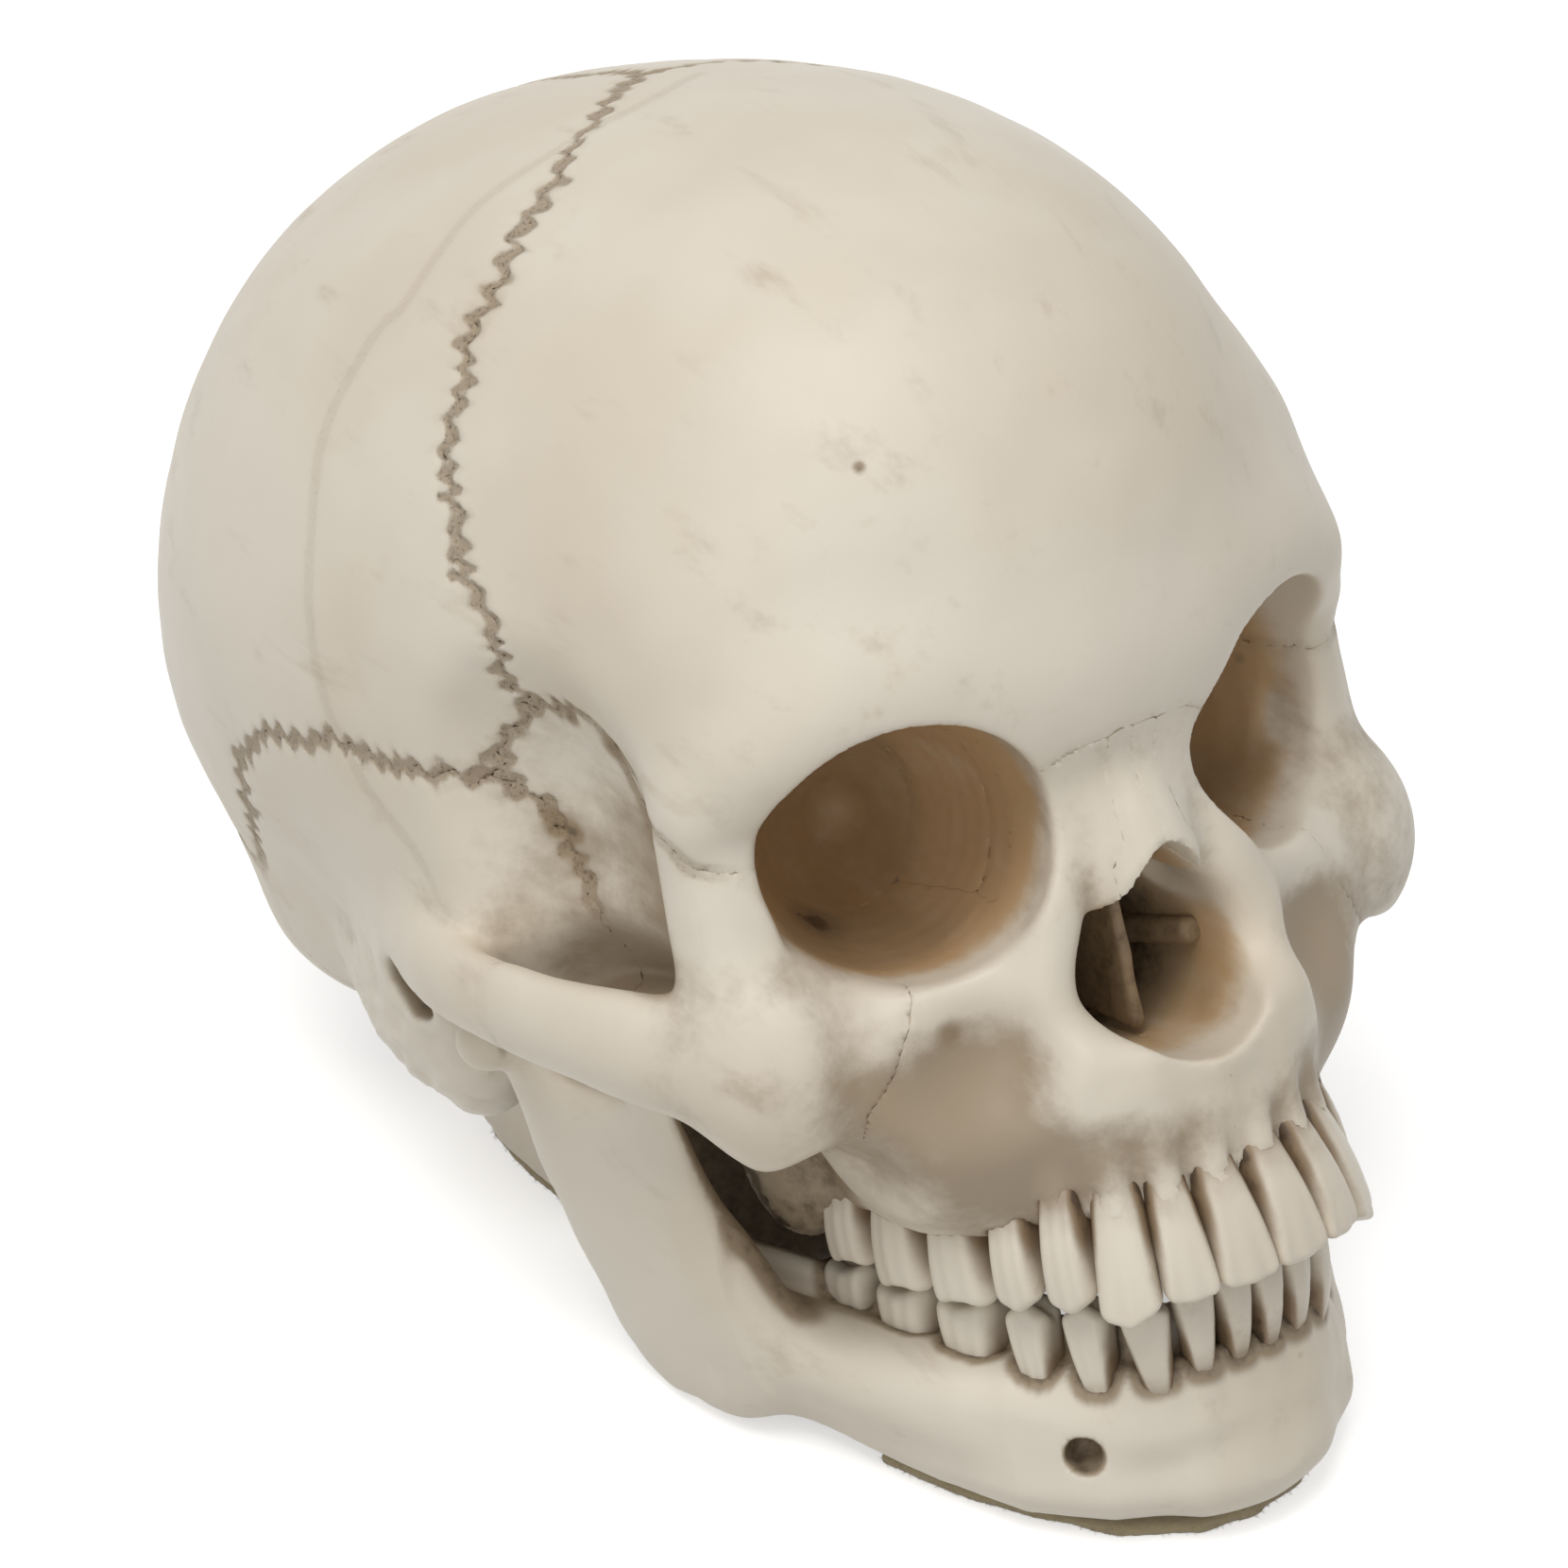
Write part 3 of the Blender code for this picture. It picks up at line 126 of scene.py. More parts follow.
lamp("key_lamp", (-0.5, -0.3, 1.5), 10.0, 0.8, (1.0, 0.98, 0.945))
lamp("fill_lamp", (-1.2, -1.0, 0.5), 3.2, 0.9, (1.0, 0.98, 0.95))
world = bpy.data.worlds.new("white_room")
world.use_nodes = True
world_tree = world.node_tree
world_tree.nodes.clear()
room = node(world_tree, "ShaderNodeBackground", {"Color": (0.97, 0.985, 1.0, 1), "Strength": 0.46})
white = node(world_tree, "ShaderNodeBackground", {"Color": (1, 1, 1, 1), "Strength": 1.0})
either = node(world_tree, "ShaderNodeMixShader", {0: seen_directly(world_tree), 1: room.outputs[0],
                                                  2: white.outputs[0]})
node(world_tree, "ShaderNodeOutputWorld", {"Surface": either.outputs[0]})
scene.world = world

bm = bmesh.new()
bmesh.ops.create_grid(bm, x_segments=1, y_segments=1, size=3)
floor_mesh = bpy.data.meshes.new("floor")
bm.to_mesh(floor_mesh)
bm.free()
floor = bpy.data.objects.new("floor", floor_mesh)
scene.collection.objects.link(floor)
paper, paper_tree, paper_shader = new_material(
    "white_paper", {"Roughness": 0.9, "Specular IOR Level": 0.1, "Emission Strength": 1})
direct = seen_directly(paper_tree)
tone = mixed(paper_tree, direct, (0.5, 0.495, 0.485, 1), (0.97, 0.97, 0.97, 1))
paper_tree.links.new(tone, paper_shader.inputs["Base Color"])
lift = mixed(paper_tree, direct, (0, 0, 0, 1), (0.5, 0.5, 0.5, 1))
paper_tree.links.new(lift, paper_shader.inputs["Emission Color"])
floor_mesh.materials.append(paper)

# Stained resin. The parts are cast in ivory resin, dipped in a thin brown wash and wiped, so
# the brown stays in hollows, holes and sutures, and the raised surfaces come out clean. Behind
# the teeth, inside the mouth and on the faces behind the jaw, the same browns are painted shade.


def new_group(name, ins, outs):
    """A shader group with its named inputs and outputs; gives the tree and its two end nodes."""
    tree = bpy.data.node_groups.new(name, "ShaderNodeTree")
    for label, kind, value in ins:
        tree.interface.new_socket(label, in_out="INPUT", socket_type=kind).default_value = value
    for label, kind in outs:
        tree.interface.new_socket(label, in_out="OUTPUT", socket_type=kind)
    return tree, tree.nodes.new("NodeGroupInput"), tree.nodes.new("NodeGroupOutput")


def ramp(tree, value, low, high, to_low=0.0, to_high=1.0):
    """A smooth step of a value between two levels."""
    return node(tree, "ShaderNodeMapRange", {"Value": value, "From Min": low, "From Max": high,
                                             "To Min": to_low, "To Max": to_high},
                interpolation_type="SMOOTHSTEP").outputs[0]


def maths(tree, operation, first, second):
    return node(tree, "ShaderNodeMath", {0: first, 1: second}, operation=operation).outputs[0]


def noise(tree, places, scale, detail=4.0, roughness=0.5):
    return node(tree, "ShaderNodeTexNoise", {"Vector": places, "Scale": scale, "Detail": detail,
                                             "Roughness": roughness}).outputs["Fac"]


# one group paints the brown wash, and its browns also serve as painted shade where the marks ask for it
WASH_AND_SHADE_TREE, wash_in, wash_out = new_group(
    "brown_wash_and_painted_shade",
    (("Clean", "NodeSocketColor", (0.8, 0.7, 0.6, 1)), ("Warm", "NodeSocketColor", (0.8, 0.7, 0.6, 1)),
     ("Wash And Shade", "NodeSocketColor", (0.3, 0.2, 0.1, 1)), ("Dark", "NodeSocketColor", (0.1, 0.07, 0.04, 1)),
     ("Orbit", "NodeSocketColor", (0.6, 0.4, 0.2, 1)),
     ("Hollow Start", "NodeSocketFloat", 0.5), ("Hollow End", "NodeSocketFloat", 0.8)),
    (("Colour", "NodeSocketColor"), ("Roughness", "NodeSocketFloat"), ("Height", "NodeSocketFloat")))
t = WASH_AND_SHADE_TREE
spots = node(t, "ShaderNodeTexCoord").outputs["Object"]
hollow, seam, strength, deep, warmth = (
    node(t, "ShaderNodeAttribute", attribute_name=label).outputs["Fac"]
    for label in ("hollow", "seam", "stain", "deep", "warmth"))
broad = noise(t, spots, 22, 3)
cloud = noise(t, spots, 60, 5, 0.6)
grain = noise(t, spots, 420, 5, 0.6)
fine = noise(t, spots, 1500, 3, 0.6)


def swayed(value, pattern, share):
    """A value that rises and falls with a pattern."""
    return maths(t, "ADD", value, maths(t, "MULTIPLY", maths(t, "SUBTRACT", pattern, 0.5), share))


def laid(under, label, mask, share):
    """One of the group's own colours, laid over another by a share of a mask."""
    return mixed(t, maths(t, "MULTIPLY", mask, share), under, wash_in.outputs[label])


# ivory, mottled slowly between a clean and a warm tone, with faint rubbed smears
colour = mixed(t, ramp(t, broad, 0.35, 0.68), wash_in.outputs["Clean"], wash_in.outputs["Warm"])
smear = node(t, "ShaderNodeMapping", {"Vector": spots, "Rotation": (0.4, 0.2, 0.6), "Scale": (1, 0.25, 1)})
smears = noise(t, smear.outputs[0], 130, 4, 0.65)
colour = laid(colour, "Wash And Shade", ramp(t, smears, 0.56, 0.8), 0.22)
# wash that settled in the hollows, thicker where they are deep
settled = swayed(swayed(swayed(hollow, cloud, 0.5), smears, 0.35), grain, 0.14)
in_hollow = ramp(t, settled, wash_in.outputs["Hollow Start"], wash_in.outputs["Hollow End"])
colour = laid(colour, "Wash And Shade", in_hollow, 0.82)
warmed = swayed(swayed(warmth, smears, 1.1), cloud, 0.7)
colour = laid(colour, "Orbit", ramp(t, warmed, 0.1, 1.1), 0.92)
# deep places take the brown and then the dark colour: wash pooled in the orbits, nose and holes, and painted
# shade on faces behind the teeth and inside the mouth
inside = ramp(t, swayed(deep, cloud, 0.5), 0.1, 0.9)
colour = laid(colour, "Wash And Shade", inside, 0.85)
colour = laid(colour, "Dark", ramp(t, swayed(deep, grain, 0.9), 0.85, 1.35), 0.8)
# sutures: a soft brown band, a jagged line along its middle, and darker grains in the line
wander = swayed(seam, grain, 1.2)
band = maths(t, "MULTIPLY", ramp(t, wander, 1.0, 3.2, 1.0, 0.0), strength)
line = maths(t, "MULTIPLY", ramp(t, wander, 1.0, 2.0, 1.0, 0.0), strength)
flecks = maths(t, "MULTIPLY", ramp(t, fine, 0.52, 0.68), line)
colour = laid(laid(colour, "Wash And Shade", band, 0.22), "Wash And Shade", line, 0.66)
colour = laid(colour, "Dark", flecks, 0.5)
# pin holes and specks left by the casting
cells = node(t, "ShaderNodeTexVoronoi", {"Vector": spots, "Scale": 95}, feature="F1")
picked = ramp(t, noise(t, spots, 45, 2), 0.6, 0.72)
pits = maths(t, "MULTIPLY", ramp(t, cells.outputs["Distance"], 0.02, 0.07, 1.0, 0.0), picked)
colour = laid(colour, "Dark", pits, 0.6)
t.links.new(colour, wash_out.inputs["Colour"])
gloss = maths(t, "ADD", 0.4, maths(t, "MULTIPLY", cloud, 0.14))
gloss = maths(t, "ADD", gloss, maths(t, "MULTIPLY", maths(t, "MAXIMUM", inside, line), 0.2))
t.links.new(gloss, wash_out.inputs["Roughness"])
height = maths(t, "ADD", maths(t, "MULTIPLY", cloud, 0.5), maths(t, "MULTIPLY", grain, 0.22))
height = maths(t, "SUBTRACT", height, maths(t, "MULTIPLY", line, 0.75))
height = maths(t, "SUBTRACT", height, maths(t, "MULTIPLY", pits, 0.5))
t.links.new(height, wash_out.inputs["Height"])


def stained(name, clean, warm, wash_and_shade, dark, hollow_start, hollow_end, coat=0.12):
    """A resin with the wash in its own colours."""
    made, tree, shader = new_material(name, {"Specular IOR Level": 0.4, "Coat Weight": coat,
                                             "Coat Roughness": 0.35})
    coloured = node(tree, "ShaderNodeGroup", {
        "Clean": (*clean, 1), "Warm": (*warm, 1), "Wash And Shade": (*wash_and_shade, 1), "Dark": (*dark, 1),
        "Orbit": (0.56, 0.37, 0.19, 1), "Hollow Start": hollow_start, "Hollow End": hollow_end,
    }, node_tree=WASH_AND_SHADE_TREE)
    bump = node(tree, "ShaderNodeBump", {"Height": coloured.outputs["Height"], "Strength": 0.55,
                                         "Distance": 0.0004})
    tree.links.new(coloured.outputs["Colour"], shader.inputs["Base Color"])
    tree.links.new(coloured.outputs["Roughness"], shader.inputs["Roughness"])
    tree.links.new(bump.outputs[0], shader.inputs["Normal"])
    return made


ivory = stained("ivory_resin", (0.80, 0.735, 0.625), (0.74, 0.655, 0.53), (0.29, 0.21, 0.125),
                (0.055, 0.036, 0.02), 0.54, 0.9)
enamel = stained("tooth_resin", (0.80, 0.735, 0.62), (0.75, 0.67, 0.55), (0.25, 0.165, 0.09),
                 (0.05, 0.03, 0.018), 0.35, 1.05, coat=0.25)

# Teeth. Each is cast on its own with a root that is glued into a socket. The front ones are
# wedges with a thin edge, the canines come to a point, and the back ones carry cusps.
GRAIN = 0.7
FACE_UP_TURN = math.radians(20.17)
PIN_MIDDLE = np.array((44.45, -12.56, -10.56))
UPPER_TEETH = (
    ("central_incisor", 4.6, -104.6, 9.1, 7.0, 2.6, 7.0, -50.8, -36.5),
    ("lateral_incisor", 13.0, -102.8, 7.7, 6.0, 2.6, 6.6, -50.6, -36.5),
    ("canine", 20.4, -98.2, 8.6, 7.0, 4.2, 8.0, -52.4, -36.0),
    ("first_premolar", 25.2, -90.6, 7.5, 6.0, 7.2, 7.4, -50.6, -36.5),
    ("second_premolar", 28.4, -82.6, 7.5, 6.0, 7.4, 7.4, -50.6, -37.0),
    ("first_molar", 31.2, -72.8, 10.4, 8.4, 9.4, 9.2, -50.8, -37.0),
    ("second_molar", 33.2, -61.8, 9.8, 8.0, 9.2, 9.0, -49.8, -37.0),
    ("third_molar", 34.2, -51.8, 8.4, 7.0, 8.4, 8.2, -47.5, -36.5),
)
LOWER_TEETH = (
    ("central_incisor", 3.0, -98.4, 5.6, 3.4, 2.6, 5.4, -50.5, -62.0),
    ("lateral_incisor", 9.2, -97.2, 6.0, 3.6, 2.6, 5.6, -50.5, -62.5),
    ("canine", 16.0, -94.0, 7.2, 4.0, 4.2, 6.6, -51.4, -64.0),
    ("first_premolar", 21.2, -86.4, 7.2, 4.0, 6.4, 6.2, -51.6, -64.5),
    ("second_premolar", 25.0, -78.0, 7.4, 4.2, 6.8, 6.6, -51.6, -64.5),
    ("first_molar", 28.2, -67.4, 10.4, 7.0, 9.2, 8.0, -51.8, -64.0),
    ("second_molar", 30.6, -56.2, 10.0, 7.0, 9.0, 8.0, -50.8, -62.0),
    ("third_molar", 32.2, -46.0, 9.0, 6.6, 8.4, 7.6, -48.8, -59.0),
)
ROOT_LENGTH = 6.0
TOOTH_GRAIN = 0.4

pin_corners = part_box("hinge_pin_left")
pin_place = np.array((pin_corners[0] + pin_corners[1]) / 2) * 1000
c, s = math.cos(FACE_UP_TURN), math.sin(FACE_UP_TURN)
TURN = np.array(((1, 0, 0), (0, c, s), (0, -s, c)))
SHIFT = pin_place - TURN @ PIN_MIDDLE


def to_row(places):
    """From the skull's own upright axes in millimetres to the resting skull in metres."""
    return (places @ TURN.T + SHIFT) / 1000


def from_row(places):
    return (places * 1000 - SHIFT) @ TURN


def soft_union(first, second, blend):
    if blend <= 0:
        return np.minimum(first, second)
    overlap = np.maximum(blend - np.abs(first - second), 0) / blend
    return np.minimum(first, second) - overlap * overlap * (blend * 0.25)


def soft_cut(thing, hollow_form, blend):
    return -soft_union(-thing, hollow_form, blend)


def step_up(values, low, high):
    part = np.clip((values - low) / (high - low), 0, 1)
    return part * part * (3 - 2 * part)


def spread(x, y, z):
    """Three axes laid out so that they fill a grid together."""
    return x[:, None, None], y[None, :, None], z[None, None, :]


def surface_of(values, low, grain):
    """The zero surface of a grid of distances, as places and quads that face outwards."""
    grid = openvdb.FloatGrid(grain * 2)
    grid.copyFromArray(np.ascontiguousarray(np.clip(values, -grain * 2, grain * 2), dtype=np.float32))
    places, quads = grid.convertToQuads(isovalue=0.0)
    places = places.astype(float) * grain + np.array(low, float)
    corners = places[quads]
    volume = np.einsum("ij,ij->i", corners[:, 0], np.cross(corners[:, 1], corners[:, 2])).sum()
    return places, (quads if volume > 0 else quads[:, ::-1])


FAR_FROM_SEAM = 6.0


def placed(name, places, quads, material, marks, mirror=False, crease=None):
    """A finished piece in the resting skull's place, with its marks for the wash and the painted shade."""
    if mirror:
        places = places * (-1, 1, 1)
        quads = quads[:, ::-1]
    mesh = bpy.data.meshes.new(name)
    mesh.from_pydata(to_row(places).tolist(), [], quads.tolist())
    for label in ("hollow", "seam", "stain", "deep", "warmth"):
        unmarked = FAR_FROM_SEAM if label == "seam" else 0.0
        values = np.broadcast_to(np.asarray(marks.get(label, unmarked), float), len(places))
        mesh.attributes.new(label, "FLOAT", "POINT").data.foreach_set("value", values.astype(np.float32))
    mesh.polygons.foreach_set("use_smooth", [True] * len(mesh.polygons))
    if crease:
        mesh.set_sharp_from_angle(angle=math.radians(crease))
    mesh.materials.append(material)
    made = bpy.data.objects.new(name, mesh)
    scene.collection.objects.link(made)
    return made


def tooth_frame(rows, i):
    """The way along the arch and the way out of it, at a tooth."""
    last = len(rows) - 1
    before = np.array(rows[i - 1][1:3]) if i else np.array((-rows[0][1], rows[0][2]))
    after = np.array(rows[min(i + 1, last)][1:3])
    if i == last:
        before = np.array(rows[last - 2][1:3])
    along = (after - before) / np.linalg.norm(after - before)
    return along, np.array((along[1], -along[0]))


def tooth_form(rows, i, front_lean):
    """The distance form of one tooth, the box it fills, and its own coordinates for marks."""
    face_x, face_y, edge_width, neck_width, edge_depth, neck_depth, edge, neck = rows[i][1:]
    along, out = tooth_frame(rows, i)
    up = 1 if neck > edge else -1
    lean = front_lean if i < 3 else front_lean * 0.3
    root_end = neck + up * ROOT_LENGTH

    def shape(x, y, z):
        run = (z - edge) / (neck - edge)
        on_crown = np.clip(run, 0, 1)
        u = (x - face_x) * along[0] + (y - face_y) * along[1]
        face = lean * (z - (edge + neck) / 2) * up - 0.9 * (2 * run - 1) ** 2
        half_width = (edge_width + (neck_width - edge_width) * np.clip(run, 0, 1.6) ** 1.25) / 2
        half_width = half_width * (1 - 0.12 * np.clip(1 - 5 * run, 0, 1) ** 2)
        depth = edge_depth + (neck_depth - edge_depth) * on_crown ** 0.8 - np.clip(run - 1, 0, 1) * 2
        v = (x - face_x) * out[0] + (y - face_y) * out[1] - face + depth / 2
        share = u / half_width
        return run, share, u, v, half_width, depth / 2

    def form(x, y, z):
        run, share, u, v, half_width, half_depth = shape(x, y, z)
        rounding = np.minimum(half_width, half_depth) * 0.72
        lobes = 0.16 * np.cos(share * 6.3) * np.clip(1 - run, 0, 1) if i < 3 else 0.12 * np.cos(share * 9.4)
        qx = np.abs(u) - (half_width - rounding)
        qy = np.abs(v) - (half_depth - rounding) - lobes * (v > 0)
        side = (np.sqrt(np.maximum(qx, 0) ** 2 + np.maximum(qy, 0) ** 2)
                + np.minimum(np.maximum(qx, qy), 0) - rounding)
        if i < 2:
            bite = 0.5 * np.abs(share) ** 3 + 0.35 * np.clip(share, 0, 1) ** 2
        elif i == 2:
            bite = 1.9 * np.abs(share - 0.1) ** 1.3
        elif i < 5:
            bite = 1.5 * (1 - np.exp(-(u / 2.0) ** 2)) + 0.9 * np.exp(-(v / 1.0) ** 2) + 0.5 * (v < 0)
        else:
            bite = 1.1 * np.abs(np.cos(u / half_width * 1.9)) * 0.9 + 0.8 * np.exp(-(v / 1.1) ** 2)
        ends = np.maximum((edge + bite * up - z) * up, (z - root_end) * up)
        return soft_cut(side, -ends, 1.4 if i > 2 else 1.0)

    reach = max(edge_width, edge_depth, neck_depth) + 2.5
    low = np.array((face_x - reach, face_y - reach, min(edge, root_end) - 1.5))
    high = np.array((face_x + reach, face_y + reach, max(edge, root_end) + 1.5))
    return form, low, high, shape


tooth_forms = {"upper": [], "lower": []}
for row_name, rows, front_lean, body in (("upper", UPPER_TEETH, -0.22, "cranium"),
                                         ("lower", LOWER_TEETH, -0.10, "jaw")):
    for i, row in enumerate(rows):
        form, low, high, shape = tooth_form(rows, i, front_lean)
        tooth_forms[row_name].append((form, low, high))
        grid = form(*spread(*(np.arange(a, b, TOOTH_GRAIN) for a, b in zip(low, high))))
        places, quads = surface_of(grid, low, TOOTH_GRAIN)
        run, share, _, v, _, half_depth = shape(*places.T)
        between = step_up(np.abs(share), 0.62, 1.05) * step_up(run, -0.1, 0.5)
        at_neck = step_up(run, 0.62, 1.02)
        # the back of each tooth, turned into the mouth, is browned and darkened as painted shade
        painted_shade_behind = step_up(-v / half_depth, 0.2, 1.2)
        upper_half = step_up(run, 0.3, 0.85)
        marks = {"hollow": 0.32 + 0.45 * between + 0.3 * at_neck + 0.35 * painted_shade_behind,
                 "deep": (0.6 * step_up(run, 0.9, 1.15) + 1.05 * between * upper_half
                          + 0.9 * painted_shade_behind * step_up(run, -0.1, 0.3))}
        for side in ("left", "right"):
            name = f"{row_name}_{row[0]}_{side}"
            tooth = placed(f"{name}_crown", places, quads, enamel, marks, mirror=side == "right")
            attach(tooth, body)
            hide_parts(name)

# Cranium casting. One hollow form is sculpted as a distance field, in soft joined ellipsoids,
# bent bars and walls, then hollowed. It is worked on the left half and mirrored.
FIELD_LOW = np.array((0.0, -112.0, -92.4))
FIELD_HIGH = np.array((77.0, 92.4, 119.0))


def turned(turn):
    rx, ry, rz = np.radians(turn)
    about_x = np.array(((1, 0, 0), (0, np.cos(rx), -np.sin(rx)), (0, np.sin(rx), np.cos(rx))))
    about_y = np.array(((np.cos(ry), 0, np.sin(ry)), (0, 1, 0), (-np.sin(ry), 0, np.cos(ry))))
    about_z = np.array(((np.cos(rz), -np.sin(rz), 0), (np.sin(rz), np.cos(rz), 0), (0, 0, 1)))
    return about_z @ about_y @ about_x


def egg(centre, radii, turn=(0, 0, 0)):
    """An ellipsoid as a form and its box."""
    axes, centre, radii = turned(turn), np.array(centre, float), np.array(radii, float)

    def form(x, y, z):
        away = (x - centre[0], y - centre[1], z - centre[2])
        own = [sum(axes[k, i] * away[k] for k in range(3)) for i in range(3)]
        near = np.sqrt(sum((own[i] / radii[i]) ** 2 for i in range(3)) + 1e-9)
        slope = np.sqrt(sum((own[i] / radii[i] ** 2) ** 2 for i in range(3)) + 1e-12)
        return near * (near - 1) / slope

    extent = np.abs(axes) @ radii
    return form, centre - extent, centre + extent


def bar(knots, squash=1.0):
    """A bent bar through knots of a place and a radius, rounded between them; squash narrows it in x."""
    knots = np.array(knots, float)
    ends = np.vstack((2 * knots[0] - knots[1], knots, 2 * knots[-1] - knots[-2]))
    run = []
    for a, b, c, d in zip(ends, ends[1:], ends[2:], ends[3:]):
        for part in (np.linspace(0, 1, 5, endpoint=False) if len(knots) > 2 else (0,)):
            run.append(0.5 * (2 * b + (c - a) * part + (2 * a - 5 * b + 4 * c - d) * part ** 2
                              + (3 * b - a - 3 * c + d) * part ** 3))
    run.append(knots[-1])
    run = np.array(run)
    places, radii = run[:, :3] / (squash, 1, 1), run[:, 3]

    def form(x, y, z):
        x = x / squash
        best = None
        for a, b, at_a, at_b in zip(places, places[1:], radii, radii[1:]):
            way = b - a
            part = ((x - a[0]) * way[0] + (y - a[1]) * way[1] + (z - a[2]) * way[2]) / (way @ way + 1e-9)
            part = np.clip(part, 0, 1)
            gap = np.sqrt((x - a[0] - part * way[0]) ** 2 + (y - a[1] - part * way[1]) ** 2
                          + (z - a[2] - part * way[2]) ** 2) - (at_a + part * (at_b - at_a))
            best = gap if best is None else np.minimum(best, gap)
        return best * squash

    reach = radii.max()
    return form, run[:, :3].min(axis=0) - reach, run[:, :3].max(axis=0) + reach


def wall(stations, halves, lean=0.0, roundness=0.95):
    """An upright wall of bone along half a horseshoe. Stations hold a place and two heights."""
    rows = np.array([(-stations[1][0], *stations[1][1:]), *stations], float)
    halves = np.array([halves[1], *halves], float)

    def form(x, y, z):
        shape = np.broadcast_shapes(x.shape, y.shape)
        best = np.full(shape, 1e9)
        where = np.zeros(shape)
        outward = np.ones(shape)
        for i, (a, b) in enumerate(zip(rows[:, :2], rows[1:, :2])):
            way = b - a
            part = np.clip(((x - a[0]) * way[0] + (y - a[1]) * way[1]) / (way @ way), 0, 1)
            ex, ey = x - a[0] - part * way[0], y - a[1] - part * way[1]
            gap = np.sqrt(ex * ex + ey * ey)
            nearer = gap < best
            best = np.where(nearer, gap, best)
            where = np.where(nearer, part + i, where)
            outward = np.where(nearer, np.sign(way[0] * ey - way[1] * ex), outward)
        knots = np.arange(len(rows))
        low, high, half = (np.interp(where, knots, column) for column in (rows[:, 2], rows[:, 3], halves))
        middle, tall = (low + high) / 2, (high - low) / 2
        across = np.abs(best * outward - lean * (z - middle) / tall)
        rounding = np.minimum(half, tall) * roundness
        qx, qz = across - (half - rounding), np.abs(z - middle) - (tall - rounding)
        return (np.sqrt(np.maximum(qx, 0) ** 2 + np.maximum(qz, 0) ** 2)
                + np.minimum(np.maximum(qx, qz), 0) - rounding)

    reach = halves.max() + abs(lean)
    low = np.array((rows[:, 0].min() - reach, rows[:, 1].min() - reach, rows[:, 2].min()))
    high = np.array((rows[:, 0].max() + reach, rows[:, 1].max() + reach, rows[:, 3].max()))
    return form, low, high


FAR_OUTSIDE = 60.0


def new_field():
    """Axes of the half grid, and a field that is far outside everything."""
    axes = [np.arange(low, high, GRAIN, dtype=np.float32) for low, high in zip(FIELD_LOW, FIELD_HIGH)]
    return axes, np.full([len(axis) for axis in axes], FAR_OUTSIDE, np.float32)


def worked(axes, field, form_and_box, blend, join):
    """Joins a form to the field, or cuts it out, within the form's own box."""
    form, low, high = form_and_box
    reach = blend + 2 * GRAIN
    cut = tuple(slice(int(np.searchsorted(axis, a - reach)), int(np.searchsorted(axis, b + reach)) + 1)
                for axis, a, b in zip(axes, low, high))
    values = form(*spread(*(axis[part] for axis, part in zip(axes, cut)))).astype(np.float32)
    field[cut] = join(field[cut], values, blend)


def everywhere(axes, form):
    return form(*spread(*axes)).astype(np.float32)


axes, bone = new_field()
BRAINCASE = (
    (((0, 14, 43), (70, 72, 68)), 0), (((0, -34, 47), (60, 65, 62)), 24),
    (((0, 44, 30), (55, 42, 42)), 22), (((24, 42, -2), (30, 32, 20)), 16),
    (((32, -14, 8), (27, 38, 26)), 18), (((0, -10, -10), (26, 40, 16)), 14),
    (((20, -45, 10), (26, 26, 30)), 12), (((0, 60, -8), (30, 14, 8)), 16),
)
for (centre, radii), blend in BRAINCASE:
    worked(axes, bone, egg(centre, radii), blend, soft_union)
worked(axes, bone, egg((38, -64, 44), (15.5, 16, 18)), 12, soft_union)
worked(axes, bone, egg((66, -47, 18), (16, 22, 31)), 6, soft_cut)
worked(axes, bone, egg((54, -40, -14), (14, 20, 20)), 6, soft_cut)
braincase = bone.copy()

FACE_BARS = (
    (((0.5, -87, 34, 4.6), (10, -86.5, 33, 4.6), (20, -86, 36.5, 4.4), (33, -83.5, 38, 4.2),
      (45, -77.5, 33.5, 4), (51.5, -70, 26, 3.6)), 1, 14),
    (((51.5, -69.5, 29, 3), (52.5, -67.5, 22, 3.2), (52.5, -67, 13, 3.4), (50.5, -67.5, 3, 4.4),
      (48, -70, -8, 7)), 1, 5),
    (((49, -70, -9, 9), (58.5, -60, -6, 8.5), (64.5, -46, -2, 7.2), (66.5, -30, 0.5, 6.2),
      (65, -14, 2.5, 6), (60, 0, 3.5, 6), (53, 14, 5, 5)), 0.55, 5),
    (((45, -71, -4, 6), (36, -76, -7, 5.6), (24, -80.5, -5, 5.2), (15, -85, 3, 4.6)), 1, 7),
    (((6.5, -84, 27, 4), (9, -87.5, 14, 3.8), (14.5, -89.5, 2, 3.8), (18, -89.5, -10, 4.2),
      (13.5, -93, -22, 4.6)), 1, 6),
    (((0.3, -91, -23, 3), (0.3, -98.2, -19.4, 1)), 1, 2),
    (((18, -42, -5, 7), (17, -38, -22, 6), (17, -37, -37, 5)), 0.6, 6),
    (((44, -26, -10, 5), (44, -42, -10, 6), (40, -54, -9, 6)), 1, 3),
)
for knots, squash, blend in FACE_BARS:
    worked(axes, bone, bar(knots, squash), blend, soft_union)
